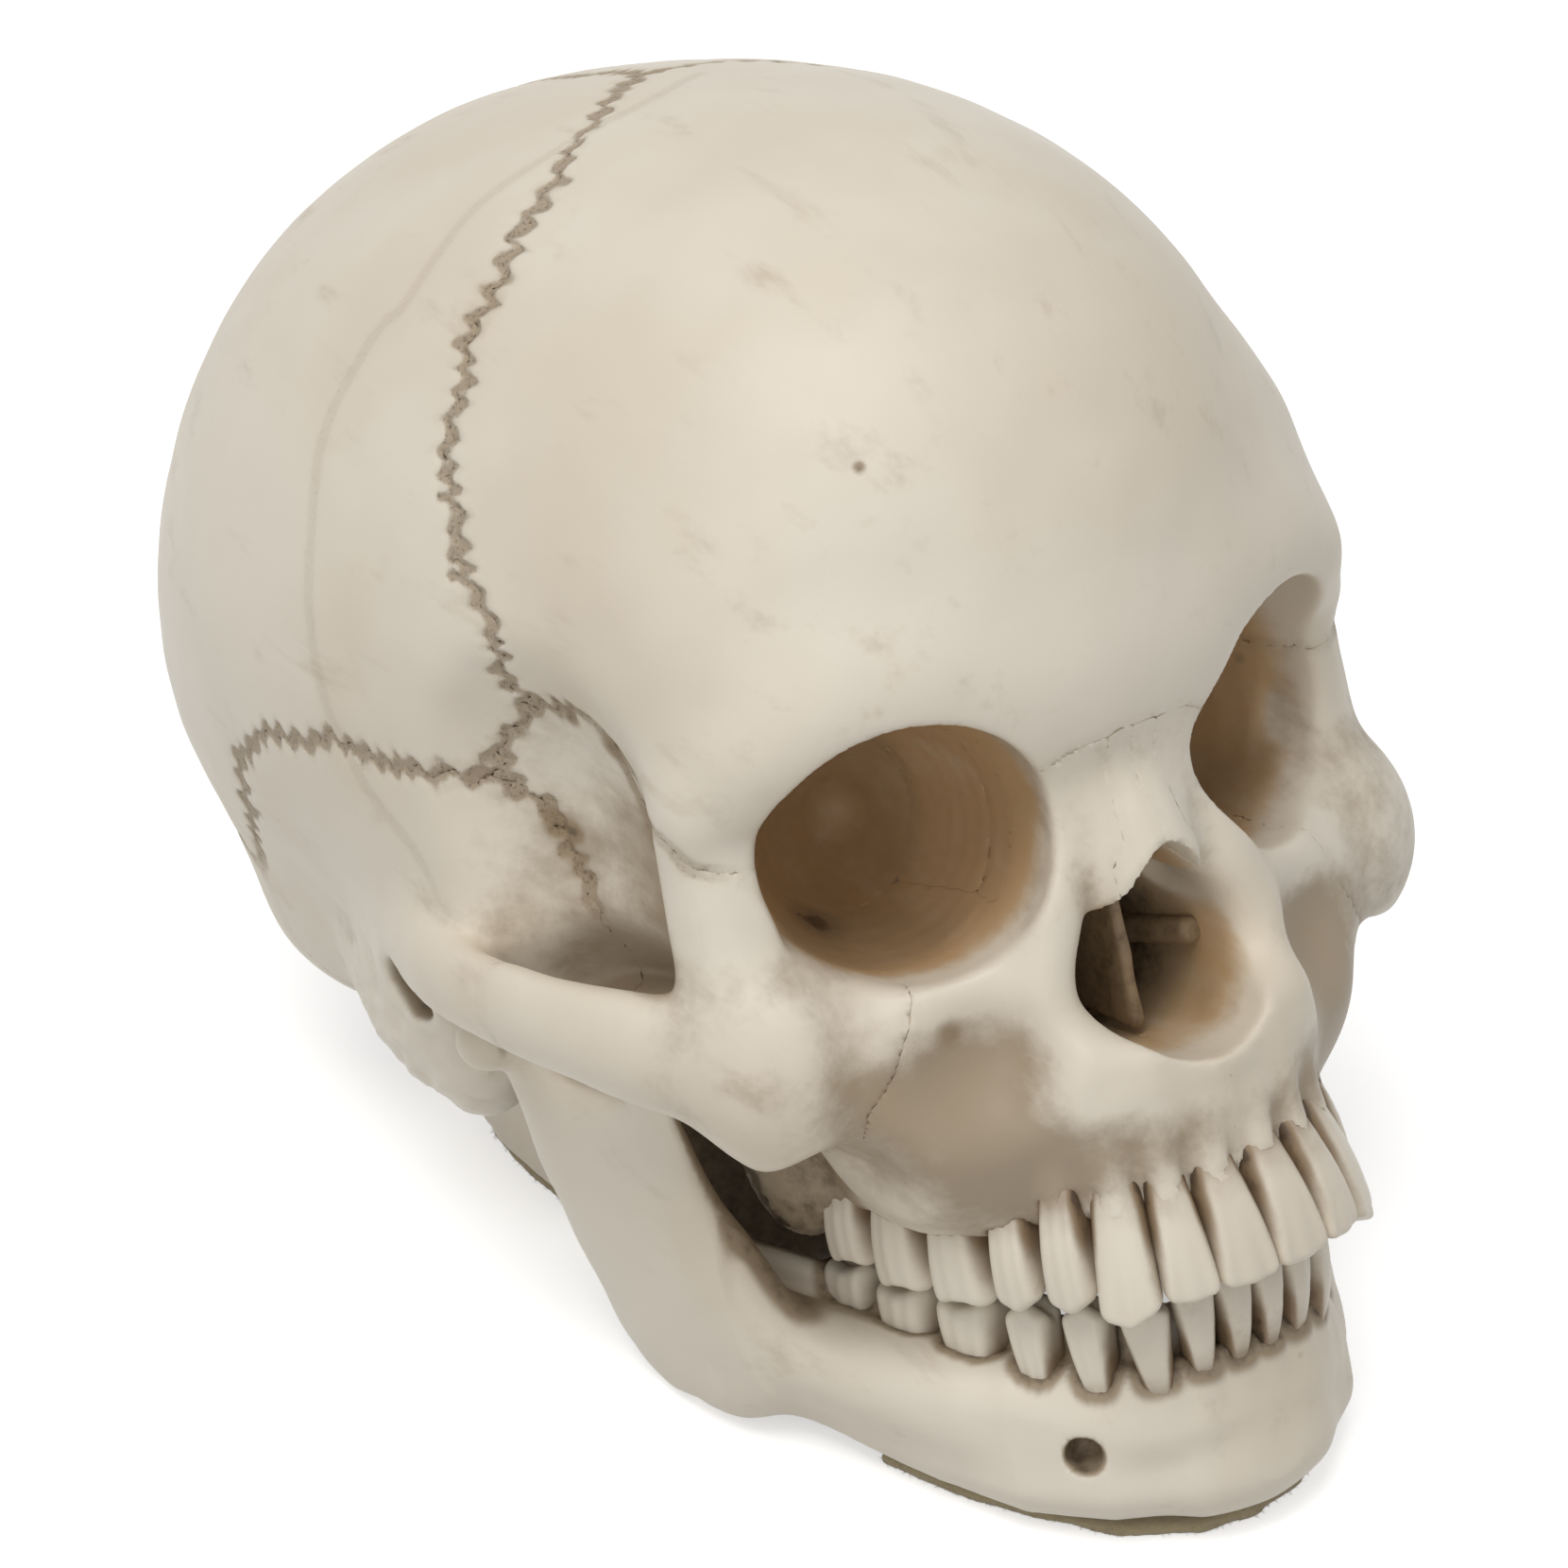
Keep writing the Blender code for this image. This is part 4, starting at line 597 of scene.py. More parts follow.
FACE_EGGS = (
    ((2, -85.5, 35), (15, 8, 10), (0, 0, 0), 10), ((47, -68, -10), (12, 8.5, 15), (0, 0, -25), 8),
    ((51, -68.5, 12), (3.6, 7.4, 20), (0, 0, -41), 3), ((0, -85.4, 13), (9.6, 10, 23), (-30.5, 0, 0), 4),
    ((24, -70, -20), (18.5, 20, 21), (0, 0, 0), 10), ((0, -79, -25), (20, 19, 6), (0, 0, 0), 4),
    ((45, -61, 11), (3.6, 12, 17), (0, 0, 38), 5), ((31, -41, -30), (7.5, 9, 15), (0, 0, 0), 4),
    ((50, 9, -11), (9.5, 12, 17), (-12, 0, 0), 10), ((47, 18, -9), (11, 13, 13), (0, 0, 0), 8),
    ((56, 0, -3), (6, 7, 7), (0, 0, 0), 6),
)
for centre, radii, turn, blend in FACE_EGGS:
    worked(axes, bone, egg(centre, radii, turn), blend, soft_union)
UPPER_WALL = (
    (0, -97.2), (9, -95.8), (16.8, -91), (22.8, -81), (26.2, -70), (28.5, -58), (29.5, -47),
)
worked(axes, bone, wall([(*plan, -39.2, -16) for plan in UPPER_WALL], [3.8] * 7, -1, 0.7), 7, soft_union)


def over_root(rows, i, thick, set_back, slant, foot_z, head_z, taper):
    """The swelling of the bone over the root of a tooth, from the tooth's neck to the root's tip."""
    out = tooth_frame(rows, i)[1]
    foot = np.array(rows[i][1:3]) - out * (thick + set_back)
    return bar(((*foot, foot_z, thick), (*(foot - out * slant), head_z, thick * taper)))


UPPER_NECKS = -36.5
for i, row in enumerate(UPPER_TEETH):
    front = i < 3
    root_tall = 19 if i == 2 else 15 if i < 5 else 8
    root = over_root(UPPER_TEETH, i, row[4] * 0.4, 1.9 if front else 1.2, 2.4 if front else 1.8,
                     UPPER_NECKS - 2.1, UPPER_NECKS + root_tall, 0.75)
    worked(axes, bone, root, 1.5, soft_union)

ORBIT = egg((30.4, -84, 16.2), (19.2, 20, 18.2))
ORBIT_CONE = bar(((30, -84, 16.2, 17.8), (26, -70, 15, 17.2), (21, -56, 13.5, 12.5), (16, -46, 12, 6)))
orbit = soft_union(everywhere(axes, ORBIT[0]), everywhere(axes, ORBIT_CONE[0]), 3)
EAR_CANAL = bar(((66, 1, -4, 5.2), (58, 1, -3.5, 4.6), (50, 1, -3, 4)))
JAW_SOCKET = egg((55, -13, -11), (13, 7, 8))
bone = soft_cut(bone, orbit, 1.2)
NOSE_LOW = egg((0, -92, -10.3), (12.4, 46, 10.6))
NOSE_HIGH = egg((0, -96, -2), (6.2, 40, 10.6))


def nose_form(x, y, z):
    """The pear-shaped tunnel of the nose, wide below and narrow above."""
    return soft_union(NOSE_LOW[0](x, y, z), NOSE_HIGH[0](x, y, z), 9)


for hollow_form, blend in (
        ((nose_form, NOSE_LOW[1] - (0, 0, 1), NOSE_LOW[2] + (0, 0, 10)), 1),
        (egg((0, -42, -24), (12, 13, 12)), 3), (egg((32, -93, -14), (10, 9.5, 9)), 6),
        (egg((46, -72, -31), (9, 15, 9)), 4),
        (EAR_CANAL, 2), (JAW_SOCKET, 3), (egg((0, -66, -42), (19, 26, 16)), 5)):
    worked(axes, bone, hollow_form, blend, soft_cut)
outside = bone.copy()

# the hollow for the brain keeps a wall inside, clear of the orbits, nose and ear bone
VAULT_WALL = 5.5
ORBIT_WALL = 3.0
BRAIN_FLOOR = -11.0
brain = np.maximum(braincase + VAULT_WALL, ORBIT_WALL - orbit)
for dense in (egg((41, -8, -10), (14, 14, 13)), egg((0, -75, 0), (22, 34, 26))):
    brain = np.maximum(brain, -everywhere(axes, dense[0]))
brain = np.maximum(brain, BRAIN_FLOOR - spread(*axes)[2])
bone = np.maximum(bone, -brain)
worked(axes, bone, egg((0, 12, -28), (14, 17, 34)), 4, soft_cut)
SOCKET_TIGHTNESS = 0.35


def cut_sockets(field, row_name):
    """Cuts a row's sockets, a little tight, so that the bone meets each crown in a clean line."""
    for form, low, high in tooth_forms[row_name]:
        worked(axes, field, (lambda x, y, z, form=form: form(x, y, z) + SOCKET_TIGHTNESS, low, high),
               0.2, soft_cut)


cut_sockets(bone, "upper")

# uneven relief, so that no surface is a pure curve


def full_width(half):
    return np.concatenate((half[:0:-1], half), axis=0)


def lumps(shape, spacing, seed):
    """Smooth random relief over a grid, with hills about a spacing apart."""
    rng = np.random.default_rng(seed)
    relief = rng.uniform(-1, 1, [int(n / spacing) + 4 for n in shape]).astype(np.float32)
    for axis, n in enumerate(shape):
        run = np.arange(n) / spacing + 1
        base = np.round(run).astype(int)
        part = run - base
        blend = np.zeros((n, relief.shape[axis]), np.float32)
        rows = np.arange(n)
        blend[rows, base - 1] += 0.5 * (0.5 - part) ** 2
        blend[rows, base] += 0.75 - part ** 2
        blend[rows, base + 1] += 0.5 * (0.5 + part) ** 2
        relief = np.moveaxis(np.tensordot(blend, relief, axes=(1, axis)), 0, axis)
    return relief * 2


whole_x = np.concatenate((-axes[0][:0:-1], axes[0]))
bone = full_width(bone)
outside = full_width(outside)
orbit = full_width(orbit)
bone += 0.22 * lumps(bone.shape, 20, 1) + 0.1 * lumps(bone.shape, 7, 2)
x, y, z = spread(np.abs(whole_x), *axes[1:])
mastoid = np.exp(-((x - 52) / 9) ** 2 - ((y - 14) / 13) ** 2 - ((z + 12) / 15) ** 2)
bone += 1.1 * mastoid * lumps(bone.shape, 3, 3) + 0.5 * mastoid * lumps(bone.shape, 1.8, 4)
GRID_LOW = np.array((whole_x[0], axes[1][0], axes[2][0]), float)

# Bones. The casting is sawn along its sutures. The saw line wanders in small teeth on the
# vault and runs nearly plain on the face, and each bone keeps the region of its CAD node.


def jagged(run, seed, tooth, height):
    """A line of uneven teeth along a run."""
    rng = np.random.default_rng(seed)
    knots = np.cumsum(rng.uniform(0.55, 1.45, 400) * tooth)
    heights = rng.uniform(0.4, 1.0, 400) * height * (-1.0) ** np.arange(400)
    return np.interp(run - run.min(), knots, heights)


def wandering(run, seed, *teeth):
    """Lines of uneven teeth of several sizes and heights, added up."""
    return sum(jagged(run, seed + i, tooth, height) for i, (tooth, height) in enumerate(teeth))


def sampled(values, low, places):
    """Reads a grid of values at any places."""
    spot = (places - low) / GRAIN
    base = np.clip(np.floor(spot).astype(np.int32), 0, np.array(values.shape) - 2)
    part = np.clip(spot - base, 0, 1).astype(np.float32)
    total = 0
    for i in (0, 1):
        for j in (0, 1):
            for k in (0, 1):
                weight = ((part[:, 0] if i else 1 - part[:, 0]) * (part[:, 1] if j else 1 - part[:, 1])
                          * (part[:, 2] if k else 1 - part[:, 2]))
                total = total + weight * values[base[:, 0] + i, base[:, 1] + j, base[:, 2] + k]
    return total


def triangles_of(name):
    """A CAD node's places, in the skull's own axes, and its triangles."""
    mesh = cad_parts[name].data
    places = np.zeros(len(mesh.vertices) * 3)
    mesh.vertices.foreach_get("co", places)
    mesh.calc_loop_triangles()
    corners = np.zeros(len(mesh.loop_triangles) * 3, np.int32)
    mesh.loop_triangles.foreach_get("vertices", corners)
    return from_row(places.reshape(-1, 3)), corners.reshape(-1, 3)


def level_of(places, triangles, low, grain, reach):
    """Signed distances to a closed form, in cells, on a grid that starts at a corner."""
    return openvdb.FloatGrid.createLevelSetFromPolygons(
        ((places - low) / grain).astype(np.float32), triangles=triangles.astype(np.uint32),
        transform=openvdb.createLinearTransform(1.0), halfWidth=reach)


REGION_REACH = 7.0


def region_of(name):
    """Signed distances to a CAD node over a box round it."""
    places, triangles = triangles_of(name)
    first = np.maximum(np.floor((places.min(axis=0) - REGION_REACH - GRID_LOW) / GRAIN).astype(int), 0)
    last = np.ceil((places.max(axis=0) + REGION_REACH - GRID_LOW) / GRAIN).astype(int)
    level = level_of(places, triangles, GRID_LOW, GRAIN, REGION_REACH / GRAIN)
    values = np.zeros(last - first + 1, np.float32)
    level.copyToArray(values, ijk=tuple(int(i) for i in first))
    return values * GRAIN, GRID_LOW + first * GRAIN


def serrated(places):
    """Moves places aside in small teeth, strongly on the vault and hardly on the face."""
    x, y, z = places.T
    round_vault = np.arctan2(x, z - 45) * 60
    vault = step_up(z, 6, 16) * step_up(y, -54, -44)
    big = 0.1 + 0.9 * vault
    return places + big[:, None] * np.column_stack((
        wandering(y, 11, (1.7, 1.7), (9, 1.0), (0.9, 0.4)),
        wandering(round_vault, 21, (1.7, 2.0), (8, 1.0), (0.9, 0.5)),
        wandering(y, 31, (1.7, 1.6), (9, 0.9), (0.9, 0.4))))


BONES = ("frontal_bone", "occipital_bone", "sphenoid_bone", "ethmoid_bone",
         *(f"{name}_{side}" for name in ("parietal_bone", "temporal_bone", "maxilla", "zygomatic_bone",
                                         "nasal_bone", "lacrimal_bone", "palatine_bone")
           for side in ("left", "right")))
solid_cells = np.argwhere(bone < 1.3).astype(np.int32)
cell_places = serrated(GRID_LOW + solid_cells * GRAIN)
nearest = np.full(len(solid_cells), REGION_REACH, np.float32)
second = np.full(len(solid_cells), REGION_REACH, np.float32)
owner = np.full(len(solid_cells), -1, np.int8)
reached = []
for number, name in enumerate(BONES):
    region, low = region_of(name)
    high = low + (np.array(region.shape) - 1) * GRAIN
    among = np.flatnonzero(((cell_places >= low) & (cell_places <= high)).all(axis=1))
    gap = sampled(region, low, cell_places[among])
    reached.append((among, gap))
    was_nearest, was_second = nearest[among], second[among]
    wins = gap < was_nearest
    nearest[among] = np.where(wins, gap, was_nearest)
    second[among] = np.where(wins, was_nearest, np.minimum(was_second, gap))
    owner[among] = np.where(wins, number, owner[among])

# where the wash settles: how much of the room round a place is filled


def evened(values, reach):
    """Evens a grid out over a cube of cells, twice round."""
    width = 2 * reach + 1
    for axis in (0, 1, 2, 0, 1, 2):
        margins = [(0, 0)] * 3
        margins[axis] = (reach + 1, reach)
        total = np.cumsum(np.pad(values, margins, mode="edge"), axis=axis, dtype=np.float32)
        after = np.take(total, range(width, total.shape[axis]), axis=axis)
        before = np.take(total, range(0, total.shape[axis] - width), axis=axis)
        values = (after - before) / width
    return values


def filled_share(field):
    """Near and wide shares of filled room, on a grid of twice the grain."""
    filled = np.clip(0.5 - field[::2, ::2, ::2] / (2 * GRAIN), 0, 1)
    return evened(filled, 2), evened(filled, 6)


def at_coarse(values, places):
    return sampled(values, GRID_LOW * 0.5, (places - GRID_LOW) * 0.5 + GRID_LOW * 0.5)


close_fill, wide_fill = filled_share(outside)


def folded(places):
    """Places as columns, with the right side laid over the left."""
    return np.abs(places[:, 0]), places[:, 1], places[:, 2]


def bell(places, centre, radii):
    """A soft mark round a place, on both sides of the skull."""
    gaps = (np.column_stack(folded(places)) - centre) / radii
    return np.exp(-(gaps * gaps).sum(axis=1))


def suture_strength(places):
    """How deeply the suture at a place is moulded and stained: fully on the vault and temple."""
    x, y, z = folded(places)
    vault = step_up(z, 4, 14) * step_up(y, -56, -48)
    temple = np.exp(-((y + 54) / 17) ** 2 - ((z - 32) / 12) ** 2) * step_up(x, 30, 42)
    wing = bell(places, (53, -34, 21), (9, 8, 8))
    far_cheek = 0.9 * bell(places, (48, -76, -8), (9, 9, 9)) * (places[:, 0] > 0)
    rim = 0.8 * bell(places, (55, -67, 19), (5, 6, 7))
    return np.maximum.reduce((vault, temple, wing, far_cheek, rim, np.full(len(x), 0.05)))


# where the wash was wiped less: a place, its reach and how much browner it is
WASHED = (
    ((58, -38, 12), (16, 24, 24), 0.2), ((52, -56, 6), (10, 12, 20), 0.32),
    ((46, -42, -8), (14, 18, 12), 0.42), ((31, -84, -17), (13, 12, 12), 0.34),
    ((28, -88, -30), (22, 14, 13), 0.34), ((12, -98, -30), (18, 8, 8), 0.28),
    ((16, -86, 31), (20, 9, 7), 0.38), ((12, -90, 6), (9, 8, 15), 0.3),
    ((48, -72, -9), (13, 10, 15), 0.44), ((30, -60, -34), (14, 30, 10), 0.2),
    ((52, 6, -8), (16, 18, 16), 0.14), ((4, -98, -82), (24, 10, 9), 0.2),
)
# small dark blots of wash, on one side only: a place and a reach
BLOTS = (
    ((-27.9, -87.3, 67.4), 0.9), ((-28.4, -56.4, 3.6), 3.2), ((-46, -60, 8), 2.6),
    ((41.3, -65.1, 17.9), 1.2), ((-30.6, -85.6, -9.7), 2.2), ((-27.7, -86.1, -28), 0.9),
    ((-52.2, -52.9, 34.4), 2.4), ((-50.8, -60.8, 30.8), 1.8), ((-52.4, -33.7, 21.8), 2.2),
    ((-51.4, -36.4, 20.2), 1.8), ((-54.1, -46.3, 38), 1.5),
)
# the faint line that the two halves of the mould left over the right of the vault
MOULD_LINE = bar((
    (1, -23.6, 111.6, 0), (-8.8, -26.1, 110.7, 0), (-19.1, -24.2, 108.7, 0), (-27.5, -21.5, 105.6, 0),
    (-35.3, -17.5, 101.7, 0), (-47.3, -15.7, 92.4, 0), (-50.7, -12.3, 89.3, 0), (-59.2, -7.6, 78.2, 0),
    (-65, -7.7, 65.2, 0), (-67.8, -6.9, 53.9, 0), (-68.4, -6.8, 41.9, 0), (-66.9, -9, 29.4, 0),
    (-64.6, -15.1, 19.7, 0), (-63.1, -17.2, 12.5, 0),
))


FAR_FROM_TEETH = 9.0


def gap_to_teeth(row_name, places):
    """How far places are from the nearest tooth of a row."""
    x, y, z = folded(places)
    gap = np.full(len(x), FAR_FROM_TEETH)
    near = np.flatnonzero((z < -34) & (z > -74) & (y < -30))
    for form, _, _ in tooth_forms[row_name]:
        gap[near] = np.minimum(gap[near], form(x[near], y[near], z[near]))
    return gap


def cranium_marks(places, others):
    """Marks for the wash and the painted shade on the bones, from their form and place."""
    x, y, z = folded(places)
    hollow = 0.5 * at_coarse(close_fill, places) + 0.5 * at_coarse(wide_fill, places)
    for centre, radii, share in WASHED:
        hollow = hollow + share * bell(places, centre, radii)
    in_orbit = step_up(sampled(orbit, GRID_LOW, places), 1.3, 0.2) * step_up(y - 0.5 * (x - 12), -91, -82)
    in_nose = step_up(nose_form(x, y, z), 1.6, 0.5) * step_up(y, -98, -88)
    in_ear = step_up(bar(((70, 1, -4, 5.2), (50, 1, -3, 4)))[0](x, y, z), 1.2, 0.2) * step_up(x, 66, 58)
    # behind the back teeth and on the roof of the mouth the deep mark is painted shade
    painted_shade_behind = step_up(x, 42, 36) * step_up(y, -62, -52) * step_up(z, -8, -16)
    palate = step_up(x, 24, 18) * step_up(z, -26, -32) * step_up(y, -95, -86)
    gum = step_up(gap_to_teeth("upper", places), 1.3, 0.2) * step_up(z, -36.5, -39)
    low_in_orbit = 0.55 * in_orbit * step_up(z - 0.25 * x, 2, -6) * step_up(y, -80, -68)
    deep = np.maximum.reduce((0.45 * in_orbit * step_up(y, -66, -50), low_in_orbit,
                              1.15 * in_nose * step_up(y, -90, -72), in_ear,
                              1.05 * painted_shade_behind, 0.8 * palate, 0.8 * gum))
    for centre, reach in BLOTS:
        near = ((places - centre) ** 2).sum(axis=1) / reach ** 2
        deep = deep + 1.2 * np.exp(-near)
    parting = MOULD_LINE[0](places[:, 0], y, z)
    stain = suture_strength(places)
    on_parting = (parting + 0.4 < others) & (parting < 3)
    return {"hollow": hollow, "seam": np.where(on_parting, parting + 0.4, others),
            "stain": np.where(on_parting, 0.16, stain), "deep": deep,
            "warmth": np.maximum(in_orbit, 0.8 * in_nose)}


def slope_at(values, low, places, reach=0.4):
    """How a grid of values rises along each axis at some places."""
    return np.column_stack([(sampled(values, low, places + step) - sampled(values, low, places - step))
                            / (2 * reach) for step in np.eye(3) * reach])


def crisp(places, skin, saw, low):
    """Moves places that the grid rounded off beside a sawn edge onto both of its faces."""
    on_skin, on_saw = sampled(skin, low, places), sampled(saw, low, places)
    upper, lower = np.maximum(on_skin, on_saw), np.minimum(on_skin, on_saw)
    edge = np.flatnonzero((upper < -0.06 * GRAIN) & (lower > -0.9 * GRAIN))
    spots = places[edge]
    for _ in range(3):
        gaps = np.column_stack((sampled(skin, low, spots), sampled(saw, low, spots)))
        slopes = np.stack((slope_at(skin, low, spots), slope_at(saw, low, spots)), axis=1)
        square = slopes @ slopes.transpose(0, 2, 1) + 0.05 * np.eye(2)
        move = -(slopes.transpose(0, 2, 1) @ np.linalg.solve(square, gaps[:, :, None]))[:, :, 0]
        length = np.maximum(np.linalg.norm(move, axis=1, keepdims=True), 1e-6)
        spots = spots + move * np.minimum(1, 0.5 * GRAIN / length)
    places[edge] = spots
    return places


ENGRAVED = 0.5
SAW_OVERLAP = 0.02
for number, name in enumerate(BONES):
    among, gap = reached[number]
    other = np.where(owner[among] == number, second[among], nearest[among])
    region = (gap - other) / 2 - SAW_OVERLAP
    near = region < 3 * GRAIN
    cells, region = solid_cells[among][near], region[near]
    first, last = cells.min(axis=0) - 2, cells.max(axis=0) + 3
    low = GRID_LOW + first * GRAIN
    spot = tuple((cells - first).T)
    line_gap = np.sqrt(np.abs(np.maximum(other[near], 0) ** 2 - np.maximum(gap[near], 0) ** 2))
    other_gap = np.full(last - first, REGION_REACH, np.float32)
    other_gap[spot] = line_gap
    groove = ENGRAVED * np.exp(-(line_gap / 1.25) ** 2) * suture_strength(GRID_LOW + cells * GRAIN)
    skin = np.full(last - first, 2 * GRAIN, np.float32)
    skin[spot] = bone[tuple(cells.T)] + groove
    saw = np.full(last - first, 2 * GRAIN, np.float32)
    saw[spot] = region
    places, quads = surface_of(np.maximum(skin, saw), low, GRAIN)
    places = crisp(places, skin, saw, low)
    marks = cranium_marks(places, np.maximum(sampled(other_gap, low, places), 0))
    piece = placed(f"{name}_cast", places, quads, ivory, marks, crease=50)
    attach(piece, "cranium")
    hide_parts(name)

# Mandible. The jaw is cast on its own, with a raised wall for the teeth, two flat branches and
# a condyle at the end of each, which turns on its hinge pin.
axes, jaw = new_field()
JAW_BODY = (
    (0, -88.6, -86, -66), (8.5, -87.4, -85.8, -66), (17.5, -81.8, -84.4, -64.5), (24.5, -73, -82.2, -61),
    (29.5, -62, -78.3, -58), (34.5, -48, -73, -54), (40, -34, -66.8, -51), (44, -22, -58.5, -46),
)
worked(axes, jaw, wall(JAW_BODY, (6, 6.2, 6.2, 5.8, 5.2, 4.6, 4, 3.4)), 0, soft_union)
LOWER_WALL = (
    (0, -91.6, -74, -62.2), (8, -90.6, -74, -62.2), (14.5, -86.5, -74, -62), (19, -79.5, -73.8, -61.5),
    (23, -70, -73, -60.6), (26, -60, -72, -59.6), (29, -50, -70, -58.4), (32, -40, -66, -55),
)
worked(axes, jaw, wall(LOWER_WALL, [4.6] * 8, 0, 0.7), 4, soft_union)
worked(axes, jaw, egg((0, -89.2, -79.5), (10.5, 6, 6.5)), 6, soft_union)
TONGUE_WALL = (
    (0, -88.6, -72, -56), (7, -87.6, -72, -56), (12.4, -84.4, -72, -56), (16.4, -78.4, -72, -56),
    (20.2, -69.4, -71, -56), (23, -59.6, -69, -55.5), (26.5, -49.6, -65, -54), (31.5, -40, -60, -49),
    (37, -31, -55, -45),
)
worked(axes, jaw, wall(TONGUE_WALL, [2.4] * 9), 2, soft_union)
OBLIQUE_RIDGE = bar(((45, -38.5, -46, 5), (41.5, -46, -57, 5), (37, -55, -62.5, 5),
                     (31, -66, -66.5, 4.5)), 0.75)
worked(axes, jaw, OBLIQUE_RIDGE, 5, soft_union)
BRANCH_BARS = (
    (((46, -21, -50, 8), (47.5, -18.5, -42, 8), (51, -16, -30, 7.4), (54, -14, -18, 5.4)), 0.45, 6),
    (((44, -35, -57, 9), (47, -36, -40, 8), (49.5, -37.5, -28, 5.6), (50.5, -38.5, -17, 3.4)), 0.45, 6),
    (((46, -26, -53, 11), (48, -26, -44, 11.5), (50, -26, -33, 9)), 0.35, 6),
    (((48, -12.5, -10.5, 4.4), (53.5, -12.5, -10.5, 5), (59, -12.5, -10.5, 4.4)), 1, 4),
)
for knots, squash, blend in BRANCH_BARS:
    worked(axes, jaw, bar(knots, squash), blend, soft_union)
LOWER_NECKS = -62.5
for i, row in enumerate(LOWER_TEETH):
    root_tall = 11 if i == 2 else 8
    root = over_root(LOWER_TEETH, i, row[4] * 0.5, 2.2, 1.0, LOWER_NECKS, LOWER_NECKS - root_tall, 0.7)
    worked(axes, jaw, root, 2.4, soft_union)
MENTAL_HOLE = bar(((27.5, -90, -73.5, 2.9), (24.5, -86, -73, 2.7), (21.5, -82, -72.5, 2.2)))
worked(axes, jaw, MENTAL_HOLE, 0.5, soft_cut)
PIN_BORE = bar(((30, *PIN_MIDDLE[1:], 1.6), (55.6, *PIN_MIDDLE[1:], 1.6)))
worked(axes, jaw, PIN_BORE, 0, soft_cut)
cut_sockets(jaw, "lower")
jaw = full_width(jaw)
jaw += 0.2 * lumps(jaw.shape, 16, 5) + 0.1 * lumps(jaw.shape, 6, 6)
close_fill, wide_fill = filled_share(jaw)
places, quads = surface_of(jaw, GRID_LOW, GRAIN)
x, y, z = folded(places)
hollow = 0.55 * at_coarse(close_fill, places) + 0.45 * at_coarse(wide_fill, places) + 0.04
# the jaw's faces turned into the mouth are darkened as painted shade
facing = slope_at(jaw, GRID_LOW, places)
facing_in = -facing[:, 0] * np.sign(places[:, 0]) - 0.5 * facing[:, 1] * step_up(y, -60, -48)
painted_shade_inside = step_up(facing_in, 0.05, 0.5) * step_up(y, -92, -80) * step_up(z, -86, -70)
in_hole = step_up(MENTAL_HOLE[0](x, y, z), 0.9, -0.1)
gum = step_up(gap_to_teeth("lower", places), 3.0, 0.3) * step_up(z, -68, -64)
marks = {"hollow": hollow + 0.2 * gum,
         "deep": np.maximum.reduce((1.2 * in_hole, 1.1 * gum, 0.95 * painted_shade_inside))}
mandible = placed("mandible_cast", places, quads, ivory, marks)
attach(mandible, "jaw")
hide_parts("mandible")

# Vomer and conchae. The thin plate and the two curled shelves inside the nose are cast with
# soft edges and let into its walls.


def softened(name, swell, seed, grain=0.4, rounds=1):
    """A CAD node's own form with soft edges and uneven faces, as places and quads."""
    places, triangles = triangles_of(name)
    low = places.min(axis=0) - 4 * grain
    size = np.ceil((places.max(axis=0) + 4 * grain - low) / grain).astype(int)
    level = level_of(places, triangles, low, grain, 5.0)
    values = np.zeros(size, np.float32)
    level.copyToArray(values)
    values = evened(values * grain, rounds) - swell
    return surface_of(values + 0.12 * lumps(values.shape, 3 / grain, seed), low, grain)


for name, swell in (("vomer", 0.15), ("inferior_concha_left", 0.5), ("inferior_concha_right", 0.5)):
    places, quads = softened(name, swell, 41)
    piece = placed(f"{name}_cast", places, quads, ivory, {"hollow": 0.8, "deep": 1.0, "warmth": 0.6})
    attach(piece, "cranium")
    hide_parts(name)

# Neck block. The underside of the braincase is filled level with pale resin, so that the skull
# can stand, with a round well left open below the great foramen.
places, quads = softened("neck_support_block", 0.0, 42, grain=0.7, rounds=2)
# the front of the block, seen in the gap behind the jaw, is darkened as painted shade
painted_shade_front = step_up(-places[:, 1], 4, 12)
block = placed("neck_support_block_cast", places, quads, ivory, {"hollow": 0.35, "deep": 1.05 * painted_shade_front})
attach(block, "cranium")
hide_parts("neck_support_block")

# Hinge pins. Two plain ground steel pins are pressed into the ear bone and carry the jaw.
steel, t, shader = new_material("pin_steel", {"Metallic": 1})
spots = node(t, "ShaderNodeTexCoord").outputs["Object"]
drawn = node(t, "ShaderNodeMapping", {"Vector": spots, "Scale": (0.06, 1, 1)})
scratches = noise(t, drawn.outputs[0], 2600, 3)
t.links.new(mixed(t, scratches, (0.5, 0.5, 0.49, 1), (0.66, 0.66, 0.65, 1)), shader.inputs["Base Color"])
t.links.new(ramp(t, scratches, 0.2, 0.8, 0.24, 0.42), shader.inputs["Roughness"])
for side in ("left", "right"):
    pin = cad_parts[f"hinge_pin_{side}"]
    pin.data.materials.clear()
    pin.data.materials.append(steel)

